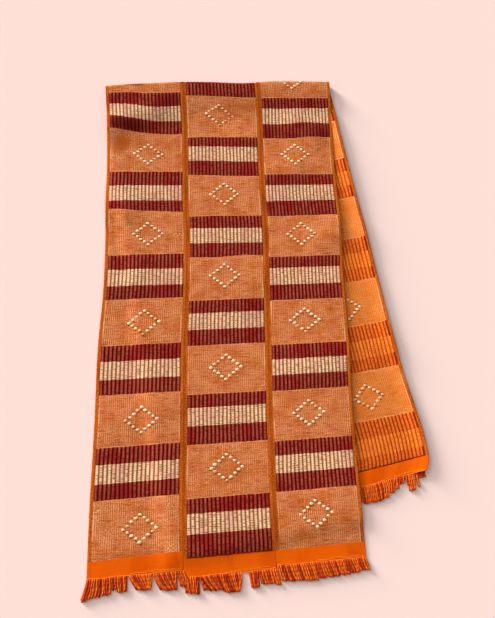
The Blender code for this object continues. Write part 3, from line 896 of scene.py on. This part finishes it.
def float_material():
    """Soft cream yarn of the floats, some of it dull, with the dark pads beside them: painted shade around
    the floats, together with the darker ground between them.
    """
    graph = Graph("float_yarn")
    place = graph.node("ShaderNodeTexCoord").outputs["Object"]
    across, along = graph.first_two(place, 1 / MM)
    strands = graph.noise(across, along, FLOAT_STRANDS)
    dye = graph.attribute("dye")
    colour = graph.mark(FLOAT_CREAM, strands, ROSY_STRAND, FLOAT_ROSY)
    colour = graph.mark(colour, dye, DULL_FLOAT, FLOAT_DULL)
    # Painted shade on the dark pads beside the floats
    colour = graph.mark(colour, dye, SHADE_FLOAT, PAINTED_FLOAT_SHADE)
    return graph.finish(colour, strands, FLOAT_SURFACE)


def yarn_material(name, colours):
    """Twisted yarn in dyes from pale to dark, with painted shade in the gaps between its plies as slanting
    lines.
    """
    graph = Graph(name)
    around, turns = graph.first_two(graph.weave_map(), 1.0)
    ply = graph.wave(graph.plus(around, turns))
    dye = graph.attribute("dye")
    colour = graph.mark(colours.pale, dye, Mark(PALE_DYE, ORANGE_DYE), colours.orange)
    colour = graph.mark(colour, dye, Mark(ORANGE_DYE, RED_DYE), colours.red)
    colour = graph.mark(colour, dye, Mark(RED_DYE, DARK_DYE), colours.dark)
    # Painted shade in the gaps between the plies
    colour = graph.mark(colour, ply, PLY_GAP, colours.dark)
    return graph.finish(colour, ply, YARN_SURFACE)


def floor_material():
    """Pale matt studio paper."""
    graph = Graph("studio_paper")
    graph.feed(graph.shader.inputs["Base Color"], srgb(FLOOR_COLOUR))
    graph.feed(graph.shader.inputs["Roughness"], FLOOR_ROUGHNESS)
    graph.feed(graph.shader.inputs["Specular IOR Level"], 0.0)
    return graph.material


ZONE_NAMES = ("selvage", "hem", "block", "edge_line", "dark", "cream", "join_line")


def cloth_materials():
    """Materials of the zones, first for the face and then for the reverse."""
    selvage = plain_material("selvage", SELVAGE_COLOURS, runs_along=True)
    hem = plain_material("end_band", HEM_COLOURS)
    join_line = plain_material("join_line", JOIN_COLOURS)
    materials = []
    for face, block, line, dark, cream in (
        ("face", FACE_BLOCK, FACE_LINE, FACE_DARK, FACE_CREAM),
        ("reverse", REVERSE_BLOCK, REVERSE_LINE, REVERSE_DARK, REVERSE_CREAM),
    ):
        materials += [
            selvage,
            hem,
            block_material(f"block_{face}", block),
            plain_material(f"block_line_{face}", line),
            band_material(f"dark_band_{face}", dark),
            band_material(f"cream_band_{face}", cream),
            join_line,
        ]
    return materials


# One border across a strip: its open-frame y at both sides, and the zone that starts there
Border = namedtuple("Border", "left_y right_y zone")

# One row of a strip's mesh: its y at both sides, the zone above it, how far ribs and lines stand there, and
# the number of the border whose unevenness it shares, or -1 for none
Row = namedtuple("Row", "left_y right_y zone rib line border")


def leaning(y, lean, zone):
    """Border that starts at y on the strip's left side and follows a weft."""
    return Border(y, y + STRIP_WIDTH * math.tan(lean), zone)


def strip_bands(strip):
    """Bands of one strip in order of y: those charted on the front, then the back ones at its repeat."""
    bands = [band for band in FRONT_BANDS if band.side == strip.side]
    upper = BAND_LENGTH - strip.lower_dark - strip.cream
    top = strip.back_band + BAND_LENGTH
    while top - BAND_LENGTH > bands[0].top + EDGE_ZONE_LEAST:
        bands.append(Band(strip.side, top, upper, strip.cream, strip.lower_dark, BACK_WEFT_LEAN_DEGREES))
        top -= strip.repeat
    return sorted(bands, key=lambda band: band.top)


def strip_borders(strip):
    """All borders of one strip, from its front end to its back end."""
    borders = [leaning(strip.front_end, FRONT_WEFT_LEAN, "hem")]
    block_bottom, block_lean = strip.front_hem, math.radians(strip.hem_lean)
    for band in strip_bands(strip):
        lean = math.radians(band.lean)
        cream_top = band.top - band.upper
        cream_bottom = cream_top - band.cream
        bottom = cream_bottom - band.lower
        if bottom > block_bottom + EDGE_ZONE_LEAST:
            above_hem = block_bottom == strip.front_hem
            borders.append(leaning(block_bottom, block_lean, "block" if above_hem else "edge_line"))
            borders.append(leaning(block_bottom + EDGE_LINE, block_lean, "block"))
            borders.append(leaning(bottom - EDGE_LINE, lean, "edge_line"))
        else:
            borders.append(leaning(bottom - JOIN_LINE, lean, "join_line"))
        borders.append(leaning(bottom, lean, "dark"))
        borders.append(leaning(cream_bottom, lean, "cream"))
        borders.append(leaning(cream_top, lean, "dark"))
        block_bottom, block_lean = band.top, lean
    if strip.back_hem > block_bottom + EDGE_ZONE_LEAST:
        borders.append(leaning(block_bottom, block_lean, "edge_line"))
        borders.append(leaning(block_bottom + EDGE_LINE, block_lean, "block"))
        borders.append(leaning(strip.back_hem - EDGE_LINE, BACK_END_LEAN, "edge_line"))
    else:
        borders.append(leaning(strip.back_hem - JOIN_LINE, BACK_END_LEAN, "join_line"))
    borders.append(leaning(strip.back_hem, BACK_END_LEAN, "hem"))
    borders.append(leaning(strip.back_end, BACK_END_LEAN, None))
    return borders


def spacing_near(strip, start, end):
    """Distance between rows, which is shorter where the cloth turns."""
    turn_start = open_y_of_fold(strip.left, -FOLD_REACH)
    turn_end = open_y_of_fold(strip.left + STRIP_WIDTH, FOLD_REACH)
    return FOLD_ROW_SPACING if end > turn_start and start < turn_end else ROW_SPACING


def strip_rows(strip):
    """Rows of one strip's mesh."""
    borders = strip_borders(strip)
    rows = []
    was_ribbed = False
    for number, (border, following) in enumerate(zip(borders, borders[1:])):
        ribbed = border.zone in ("dark", "cream")
        rib = RIB_AT_BORDER[ribbed + was_ribbed]
        was_ribbed = ribbed
        line = float(border.zone == "block")
        length = following.left_y - border.left_y

        def row_at(distance, rib_share, line_share, border_number):
            t = distance / length
            left_y = border.left_y + length * t
            right_y = border.right_y + (following.right_y - border.right_y) * t
            rows.append(Row(left_y, right_y, border.zone, rib_share, line_share, border_number))

        row_at(0.0, rib, 0.0, number)
        if length < SHORTEST_ZONE:
            continue
        inner = length - 2 * BORDER_STEP
        row_at(BORDER_STEP, float(ribbed), line, number)
        pieces = max(1, round(inner / spacing_near(strip, border.left_y, following.right_y)))
        for piece in range(1, pieces):
            row_at(BORDER_STEP + inner * piece / pieces, float(ribbed), line, -1)
        row_at(length - BORDER_STEP, float(ribbed), line, number + 1)
    rows.append(Row(borders[-1].left_y, borders[-1].right_y, "hem", 0.0, 0.0, -1))
    return rows


def strip_columns():
    """Places across a strip, with the share of a rib's and a line's height at each."""
    ribs = [SELVAGE + step * RIB_PITCH / RIB_STEPS for step in range(RIB_COUNT * RIB_STEPS + 1)]
    across = np.array([*SELVAGE_COLUMNS, *ribs, *(STRIP_WIDTH - x for x in reversed(SELVAGE_COLUMNS))])
    rib_place = np.clip((across - SELVAGE) / RIB_PITCH, 0.0, RIB_COUNT) % 1.0
    line_place = np.clip((across - SELVAGE) / LINE_PITCH, 0.0, RIB_COUNT * 2) % 1.0
    rib = np.sqrt(np.maximum(1 - (2 * rib_place - 1) ** 2, 0.0))
    return across, rib, np.sin(np.pi * line_place)


def unevenness(x, y, phase):
    """Gentle unevenness of handwork, about from -1 to 1."""
    slow = np.sin(y / 17.3 + x / 41.0 + phase) + np.sin(y / 29.7 - x / 23.0 + 2.1 * phase)
    fast = np.sin(y / 7.9 + x / 13.1 + 3.7 * phase)
    return 0.38 * slow + 0.24 * fast


def set_uv(mesh, values):
    """Give the mesh its weave map, from one place for each vertex."""
    layer = mesh.uv_layers.new(name="weave")
    corner = np.empty(len(mesh.loops), dtype=np.int32)
    mesh.loops.foreach_get("vertex_index", corner)
    layer.data.foreach_set("uv", values[corner].astype(np.float32).ravel())


def set_attribute(mesh, name, values):
    """Give each vertex one number."""
    attribute = mesh.attributes.new(name, "FLOAT", "POINT")
    attribute.data.foreach_set("value", values.astype(np.float32).ravel())


def make_object(name, points, faces, materials, face_materials=None):
    """Smooth mesh object in the part's frame."""
    mesh = bpy.data.meshes.new(name)
    mesh.from_pydata(to_world(points).tolist(), [], faces)
    for material in materials:
        mesh.materials.append(material)
    if face_materials is not None:
        mesh.polygons.foreach_set("material_index", np.asarray(face_materials, dtype=np.int32))
    mesh.polygons.foreach_set("use_smooth", np.ones(len(mesh.polygons), dtype=bool))
    mesh.update()
    obj = bpy.data.objects.new(name, mesh)
    bpy.context.collection.objects.link(obj)
    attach(obj, "root")
    return obj


def strip_grid(strip, rows, across):
    """Places of a strip's mesh: across the strip, and in the open frame with the unevenness of handwork."""
    rng = np.random.default_rng(WEAVE_SEED + STRIPS.index(strip))
    share = across[None, :] / STRIP_WIDTH
    left_y = np.array([[row.left_y] for row in rows])
    right_y = np.array([[row.right_y] for row in rows])
    y = left_y + (right_y - left_y) * share
    rib_of_column = np.clip(((across - SELVAGE) / RIB_PITCH).astype(int), 0, RIB_COUNT - 1)
    border_count = max(row.border for row in rows) + 2
    jitter = rng.uniform(-BORDER_JITTER, BORDER_JITTER, (border_count, RIB_COUNT))
    jitter[[0, -1]] = 0.0
    y = y + jitter[[row.border for row in rows]][:, rib_of_column]

    local = np.repeat(across[None, :], len(rows), axis=0)
    sway = SWAY * unevenness(local, y, strip.left)
    from_side = np.minimum(local, STRIP_WIDTH - local)
    inset = SEAM_GAP / 2 + (STRIP_WIDTH - SEAM_GAP) * share
    x = strip.left + inset + sway * np.clip(from_side / SWAY_MARGIN, 0.0, 1.0)
    return local, x, y


def strip_sides(rows, rib_share, line_share, local, x, y):
    """Both faces of a strip, with its ribs and warp lines standing on them, and sunk where a face rests."""
    from_side = np.minimum(local, STRIP_WIDTH - local)
    banded = np.array([[row.rib] for row in rows])
    rib = banded * rib_share[None, :]
    line = np.array([[row.line] for row in rows]) * line_share[None, :]
    rounding = np.sqrt(np.clip(1 - (1 - np.minimum(from_side / EDGE_ROUND, 1.0)) ** 2, THINNEST_EDGE, 1.0))
    bumpy = BUMPINESS * unevenness(x * BUMP_FINENESS[0], y * BUMP_FINENESS[1], BUMP_PHASE)

    def half_thickness(rests):
        sink = RIB_SINK + (RIB_HEIGHT - RIB_SINK) * rests
        standing = banded * (RIB_HEIGHT * rib / np.maximum(banded, 0.01) - sink)
        ribs = np.where(from_side > SELVAGE - 0.1, standing, 0.0)
        lines = LINE_HEIGHT * line - LINE_HEIGHT * rests
        return (THICKNESS / 2 + ribs + lines + bumpy * (1 - rests) - REST_SINK * rests) * rounding

    along, past = fold_coordinates(x, y)
    on_front = ease(0.5 + past / (2 * FOLD_QUARTER))
    beside_back = on_front * (1 - back_cover(along, np.abs(past)))
    middle, normal = middle_surface(x, y), outward_normal(x, y)
    outer = middle + normal * half_thickness(1 - on_front)[..., None]
    inner = middle - normal * half_thickness(beside_back)[..., None]
    return np.concatenate([outer.reshape(-1, 3), inner.reshape(-1, 3)])


def sheet_faces(row_count, column_count):
    """Faces of a closed sheet over a grid: those of its outer side, its inner side and its rim."""
    grid = np.arange(row_count * column_count).reshape(row_count, column_count)
    quads = np.stack([grid[:-1, :-1], grid[:-1, 1:], grid[1:, 1:], grid[1:, :-1]], axis=-1).reshape(-1, 4)
    rim = np.concatenate([grid[0, :-1], grid[:-1, -1], grid[-1, :0:-1], grid[:0:-1, 0]])
    after = np.roll(rim, -1)
    rim_quads = np.stack([after, rim, grid.size + rim, grid.size + after], axis=-1)
    return quads, grid.size + quads[:, ::-1], rim_quads


def face_zones(rows, column_count):
    """Materials of a strip's faces on its outer and its inner side."""
    outer = np.repeat([[ZONE_NAMES.index(row.zone)] for row in rows[:-1]], column_count - 1, axis=1)
    margin = len(SELVAGE_COLUMNS)
    beside = outer != ZONE_NAMES.index("hem")
    beside[:, margin:-margin] = False
    outer[beside] = ZONE_NAMES.index("selvage")
    inner = outer + len(ZONE_NAMES)
    last_rib = slice(-margin - RIB_STEPS // 2, -margin)
    inner[:, last_rib][outer[:, last_rib] == ZONE_NAMES.index("dark")] = ZONE_NAMES.index("join_line")
    return outer.ravel(), inner.ravel()


def make_strip(strip, materials):
    """One woven strip as a closed thin sheet, with its weave map and its marks, the painted shade at the
    fold's edge among them.
    """
    rows = strip_rows(strip)
    across, rib_share, line_share = strip_columns()
    local, x, y = strip_grid(strip, rows, across)
    points = strip_sides(rows, rib_share, line_share, local, x, y)
    faces = sheet_faces(*x.shape)
    zones = np.concatenate([*face_zones(rows, len(across)), np.zeros(len(faces[-1]), dtype=int)])
    obj = make_object(f"woven_strip_{strip.side}", points, np.concatenate(faces).tolist(), materials, zones)
    weft = np.repeat([[row.left_y] for row in rows], len(across), axis=1)
    place = np.stack([strip.left + local, weft], axis=-1).reshape(-1, 2) * MM
    set_uv(obj.data, np.concatenate([place, place]))
    for kind in STAIN_AND_SHADE_KINDS:
        amount = stain_and_shade_amount(kind, strip, local, y).ravel()
        set_attribute(obj.data, kind, np.concatenate([amount, amount]))
    return obj


def stain_and_shade_amount(kind, strip, local, y):
    """Share of one kind of mark over a strip, the painted shade at the fold's edge among them."""
    amount = np.zeros_like(local)
    for spot in STAINS_AND_SHADE:
        if spot.kind == kind and spot.side == strip.side:
            off_x, off_y = (local - spot.x) / spot.half_across, (y - spot.y) / spot.half_along
            amount = np.maximum(amount, spot.strength * np.exp(-(off_x ** 2 + off_y ** 2) ** 2))
    return amount


def float_template():
    """Closed low pad of unit size: its points as across, along and height, and its faces."""
    points = [(0.0, 0.0, 1.0)]
    for ring in FLOAT_RINGS[::-1]:
        for index in range(FLOAT_SEGMENTS):
            angle = 2 * math.pi * index / FLOAT_SEGMENTS
            height = math.sqrt(max(0.0, 1 - ring ** 2))
            points.append((ring * math.cos(angle), ring * math.sin(angle), height))
    points.append((0.0, 0.0, -1.0))
    faces = []
    for index in range(FLOAT_SEGMENTS):
        following = (index + 1) % FLOAT_SEGMENTS
        faces.append([0, 1 + index, 1 + following])
        for ring in range(len(FLOAT_RINGS) - 1):
            near, far = 1 + ring * FLOAT_SEGMENTS, 1 + (ring + 1) * FLOAT_SEGMENTS
            faces.append([near + index, far + index, far + following, near + following])
        outer = 1 + (len(FLOAT_RINGS) - 1) * FLOAT_SEGMENTS
        faces.append([outer + following, outer + index, len(points) - 1])
    return np.array(points), faces


def diamond_places():
    """Steps from a diamond's centre to each of its floats."""
    places = []
    for i in range(-FLOATS_PER_SIDE, FLOATS_PER_SIDE + 1):
        j = FLOATS_PER_SIDE - abs(i)
        places += [(i, j), (i, -j)] if j else [(i, 0)]
    return places


def pad_points(template, strip, x, y, half_x, half_y, height, side):
    """Points of one low pad on a face of a strip, at a place on it."""
    place_x = strip.left + x + template[:, 0] * half_x
    place_y = y + template[:, 1] * half_y
    lift = THICKNESS / 2 + template[:, 2] * np.where(template[:, 2] > 0, height, FLOAT_SINK)
    return middle_surface(place_x, place_y) + side * outward_normal(place_x, place_y) * lift[:, None]


def diamond_pads(diamond, strip, template, rng):
    """Pads of one diamond, each as its points, its side and its dye; the dark pads beside the floats are
    painted shade.
    """
    lean = math.tan(math.radians(diamond.lean))
    for i, j in diamond_places():
        x = diamond.x + i * FLOAT_STEP_X + rng.uniform(-FLOAT_STRAY, FLOAT_STRAY)
        y = diamond.y + j * FLOAT_STEP_Y + rng.uniform(-FLOAT_STRAY, FLOAT_STRAY)
        y = y + i * FLOAT_STEP_X * lean
        size = rng.uniform(*FLOAT_SIZES)
        is_dull = rng.uniform() < diamond.dull
        dye = rng.uniform(*DULL_SHARES) * DULL_DYE if is_dull else rng.uniform(0.0, CREAM_DYE)
        shown_side = 1.0 if fold_coordinates(strip.left + x, y)[1] < 0 else -1.0
        half_x, half_y = FLOAT_HALF_X * size, FLOAT_HALF_Y * size
        for side in (1.0, -1.0):
            height = FLOAT_HEIGHT * size if side == shown_side else RESTING_HEIGHT
            yield pad_points(template, strip, x, y, half_x, half_y, height, side), side, dye
        # Dark pads beside each float: painted shade, together with the darker ground between floats
        for step in (-SHADE_STRAY_Y, SHADE_STRAY_Y):
            shade_x = x + rng.uniform(-SHADE_STRAY_X, SHADE_STRAY_X)
            shade_y = y + step * rng.uniform(*SHADE_STEPS)
            if rng.uniform() < SHADE_CHANCE:
                place = (shade_x, shade_y, SHADE_HALF_X, SHADE_HALF_Y, SHADE_HEIGHT, shown_side)
                yield pad_points(template, strip, *place), shown_side, SHADE_DYE


def make_floats(strip, material):
    """The diamonds of one strip on both faces, as short floats of cream yarn with dark pads beside them,
    painted shade together with the darker ground between them.
    """
    rng = np.random.default_rng(FLOAT_SEED + STRIPS.index(strip))
    template, template_faces = float_template()
    pads = []
    for diamond in DIAMONDS:
        if diamond.side == strip.side:
            pads += diamond_pads(diamond, strip, template, rng)
    faces = []
    for index, (_, side, _) in enumerate(pads):
        start = index * len(template)
        for face in template_faces:
            faces.append([start + corner for corner in face[::int(side)]])
    obj = make_object(f"floats_{strip.side}", np.concatenate([pad[0] for pad in pads]), faces, [material])
    set_attribute(obj.data, "dye", np.repeat([pad[2] for pad in pads], len(template)))
    return obj


def tube_frames(path):
    """Two unit vectors across a path at each of its points."""
    ahead = np.gradient(path, axis=0)
    ahead = ahead / np.linalg.norm(ahead, axis=-1, keepdims=True)
    side = np.cross(ahead, np.array([0.0, 0.0, 1.0]))
    side = side / np.linalg.norm(side, axis=-1, keepdims=True)
    return side, np.cross(side, ahead)


class Tubes:
    """Closed round tubes that become one mesh, with a map around and along each of them, and its dye."""

    def __init__(self):
        self.points, self.faces, self.places, self.dyes = [], [], [], []

    def add(self, path, radii, sides, turns, dye):
        side, up = tube_frames(path)
        start = len(self.points)
        for ring, (centre, radius) in enumerate(zip(path, radii)):
            for index in range(sides):
                angle = 2 * math.pi * index / sides
                offset = math.cos(angle) * side[ring] + math.sin(angle) * up[ring]
                self.points.append(centre + offset * radius)
                self.places.append((index / sides, turns * ring / (len(path) - 1)))
                self.dyes.append(dye)
        for ring in range(len(path) - 1):
            near, far = start + ring * sides, start + (ring + 1) * sides
            for index in range(sides):
                following = (index + 1) % sides
                self.faces.append([near + index, near + following, far + following, far + index])
        self.faces.append([start + index for index in range(sides)][::-1])
        last = start + (len(path) - 1) * sides
        self.faces.append([last + index for index in range(sides)])

    def make(self, name, material):
        obj = make_object(name, np.array(self.points), self.faces, [material])
        set_uv(obj.data, np.array(self.places))
        set_attribute(obj.data, "dye", np.array(self.dyes))
        return obj


def make_stitches(join, material):
    """Slanting stitches over one join, on the side of it that shows, between the hems."""
    rng = np.random.default_rng(SEAM_SEED + int(join))
    tubes = Tubes()
    shares = np.array(STITCH_SHARES)
    y = max(strip.front_hem for strip in STRIPS) + STITCH_SPACING
    while y < min(strip.back_hem for strip in STRIPS) - STITCH_SPACING:
        lean = rng.uniform(*STITCH_LEANS)
        path_x = join + shares * STITCH_HALF_X
        path_y = y + shares * STITCH_HALF_Y * lean
        side = -1.0 if fold_coordinates(join, y)[1] > 0 else 1.0
        lift = THICKNESS / 2 - STITCH_SINK + STITCH_RISE * (1 - shares ** 2)
        path = middle_surface(path_x, path_y) + side * outward_normal(path_x, path_y) * lift[:, None]
        radii = STITCH_RADIUS * (1.0 - STITCH_TAPER * shares ** 2)
        tubes.add(path, radii, STITCH_SIDES, STITCH_PLIES, ORANGE_DYE)
        y += STITCH_SPACING * rng.uniform(*STITCH_SPACING_SHARES)
    return tubes.make("seam_left" if join < 2 * STRIP_WIDTH else "seam_right", material)


class StripEnd:
    """One end of a strip: its line, and places past it on the cloth's own ground."""

    def __init__(self, strip, is_front):
        self.strip = strip
        self.is_front = is_front
        self.outward = -1.0 if is_front else 1.0
        self.start = strip.front_end if is_front else strip.back_end
        self.slope = math.tan(FRONT_WEFT_LEAN if is_front else BACK_END_LEAN)

    def line(self, x):
        """Open-frame y of the end at a place across the cloth."""
        return self.start + (x - self.strip.left) * self.slope

    def yarn_path(self, root_x, tip_x, reach, bend, rings):
        """Path from inside the hem to a tip, with its share of the length at each point."""
        t = np.linspace(0.0, 1.0, rings)
        x = root_x + (tip_x - root_x) * t ** YARN_FLARE + bend * np.sin(math.pi * t)
        y = self.line(root_x) + self.outward * ((reach + YARN_ROOT_INSET) * t - YARN_ROOT_INSET)
        return middle_surface(x, y), t

    def roots(self, tuft, spacing, fewest):
        """Roots of a tuft on this strip, as shares of its width and as places, and the whole tuft's count."""
        count = max(fewest, round((tuft.root_end - tuft.root_start) / spacing))
        shares = [(index + 0.5) / count for index in range(count)]
        places = [(share, between(tuft.root_start, tuft.root_end, share)) for share in shares]
        strip = self.strip
        return [(share, x) for share, x in places if strip.left <= x < strip.left + STRIP_WIDTH], count


def between(start, end, share):
    return start + (end - start) * share


def add_mat(tubes, end, tuft, rng):
    """Lay the lower yarns of a tuft side by side on the surface."""
    for share, root_x in end.roots(tuft, MAT_SPACING, 2)[0]:
        reach = tuft.reach * MAT_REACH * rng.uniform(MAT_SHORTEST, 1.0)
        tip_x = between(tuft.tip_start, tuft.tip_end, share)
        path, t = end.yarn_path(root_x, tip_x, reach, 0.0, MAT_RINGS)
        path[:, 2] = YARN_RADIUS + (THICKNESS / 2 - YARN_RADIUS) * ease(t * MAT_SETTLE)
        dye = min(DARK_DYE, MAT_DYE + rng.uniform(-MAT_DYE_SPREAD, MAT_DYE_SPREAD))
        tubes.add(path, np.full(MAT_RINGS, YARN_RADIUS), YARN_SIDES, MAT_PLIES, dye)


def add_locks(tubes, end, tuft, rng):
    """Lay twisted locks of yarn over a tuft's lower yarns, slanting across the tuft."""
    roots, count = end.roots(tuft, LOCK_WIDTH, 1)
    for share, root_x in roots:
        tip_share = min(share + tuft.slant, 1.0 - LOCK_MARGIN / count)
        tip_x = between(tuft.tip_start, tuft.tip_end, tip_share)
        reach = tuft.reach * rng.uniform(LOCK_SHORTEST, 1.0)
        bend = rng.uniform(-YARN_BEND, YARN_BEND)
        middle, t = end.yarn_path(root_x, tip_x, reach, bend, LOCK_RINGS)
        lock_dye = rng.uniform(*(RED_LOCK_DYES if rng.uniform() < tuft.red else ORANGE_LOCK_DYES))
        phase = rng.uniform(0.0, 2 * math.pi)
        spread = np.minimum(LOCK_ROOT_SPREAD + LOCK_OPENING * t, 1.0)
        open_out = LOCK_RADIUS * spread * (1 + LOCK_FLARE * t ** 3)
        low = between(THICKNESS / 2, LOCK_LIFT + LOCK_RADIUS, np.minimum(t * LOCK_RISE, 1.0))
        is_end = np.minimum(t, 1 - t) < LOCK_TIP_LENGTH
        radii = YARN_RADIUS * np.where(is_end, LOCK_TIP_SHARE, 1.0)
        for yarn in range(LOCK_YARNS):
            angle = phase + 2 * math.pi * (yarn / LOCK_YARNS + LOCK_TURNS * t)
            path = middle.copy()
            path[:, 0] += open_out * np.cos(angle)
            path[:, 2] = low + open_out * np.sin(angle)
            dye = lock_dye + rng.uniform(-LOCK_DYE_SPREAD, LOCK_DYE_SPREAD)
            tubes.add(path, radii, YARN_SIDES, LOCK_PLIES, dye)


def add_end_threads(tubes, end, rng):
    """Lay the last wefts on the face of the hem that shows."""
    side = 1.0 if end.is_front else -1.0
    for thread in END_THREADS:
        x = end.strip.left + STRIP_WIDTH * np.linspace(thread.start, thread.end, THREAD_RINGS)
        phase = rng.uniform(0.0, 2 * math.pi)
        slow, fast = x / THREAD_WAVES[0] + phase, x / THREAD_WAVES[1] + 2 * phase
        wander = THREAD_WANDER * (np.sin(slow) + np.sin(fast))
        y = end.line(x) - end.outward * (thread.offset + wander)
        path = middle_surface(x, y) + side * outward_normal(x, y) * (THICKNESS / 2)
        tubes.add(path, np.full(THREAD_RINGS, THREAD_RADIUS), YARN_SIDES, THREAD_PLIES, PALE_DYE)


def make_fringe(strip, end_name, material):
    """Loose yarn along one end of a strip, gathered in uneven tufts that lie on the surface."""
    end = StripEnd(strip, end_name == "front")
    rng = np.random.default_rng(FRINGE_SEED + STRIPS.index(strip) * 2 + int(end.is_front))
    tubes = Tubes()
    for tuft in FRONT_TUFTS if end.is_front else BACK_TUFTS:
        add_mat(tubes, end, tuft, rng)
        add_locks(tubes, end, tuft, rng)
    add_end_threads(tubes, end, rng)
    obj = tubes.make(f"fringe_yarn_{end_name}_{strip.side}", material)
    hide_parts(f"fringe_{end_name}_{strip.side}")
    return obj


def add_camera():
    """Camera at the photograph's angle."""
    data = bpy.data.cameras.new("camera")
    data.lens = CAMERA_LENS
    camera = bpy.data.objects.new("camera", data)
    forward = Vector(CAMERA_FORWARD).normalized()
    right = forward.cross(Vector(CAMERA_UP)).normalized()
    turn = Matrix((right, right.cross(forward), -forward)).transposed().to_4x4()
    camera.matrix_world = Matrix.Translation(CAMERA_PLACE) @ turn
    bpy.context.collection.objects.link(camera)
    bpy.context.scene.camera = camera


def add_lights():
    """Soft light from the upper left, some of it low, with an even pale world."""
    for light in LIGHTS:
        data = bpy.data.lights.new(light.name, "SUN")
        data.angle = light.angle
        data.energy = light.share * math.pi / math.sin(light.elevation)
        data.color = LIGHT_COLOUR
        source = bpy.data.objects.new(light.name, data)
        direction = Vector((*LIGHT_HEADING, -math.tan(light.elevation)))
        source.rotation_euler = direction.to_track_quat("-Z", "Y").to_euler()
        bpy.context.collection.objects.link(source)
    world = bpy.data.worlds.new("studio")
    world.use_nodes = True
    background = world.node_tree.nodes["Background"]
    background.inputs["Color"].default_value = (*WORLD_COLOUR, 1.0)
    background.inputs["Strength"].default_value = WORLD_STRENGTH
    bpy.context.scene.world = world
    bpy.context.scene.view_settings.view_transform = "Standard"


def add_floor():
    """Plain pale floor under the cloth."""
    half = FLOOR_SIZE / 2
    corners = [(-half, -half), (half, -half), (half, half), (-half, half)]
    mesh = bpy.data.meshes.new("floor")
    mesh.from_pydata([(x, y, -FLOOR_DROP) for x, y in corners], [], [[0, 1, 2, 3]])
    mesh.materials.append(floor_material())
    floor = bpy.data.objects.new("floor", mesh)
    bpy.context.collection.objects.link(floor)


def main():
    add_camera()
    add_lights()
    add_floor()
    materials = cloth_materials()
    cream = float_material()
    thread = yarn_material("seam_thread", SEAM_COLOURS)
    loose = yarn_material("fringe_yarn", FRINGE_COLOURS)
    for strip in STRIPS:
        woven = make_strip(strip, materials)
        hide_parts(f"strip_{strip.side}")
        floats = make_floats(strip, cream)
        fringes = [make_fringe(strip, end_name, loose) for end_name in ("front", "back")]
    for join in (STRIP_WIDTH, 2 * STRIP_WIDTH):
        stitches = make_stitches(join, thread)


main()
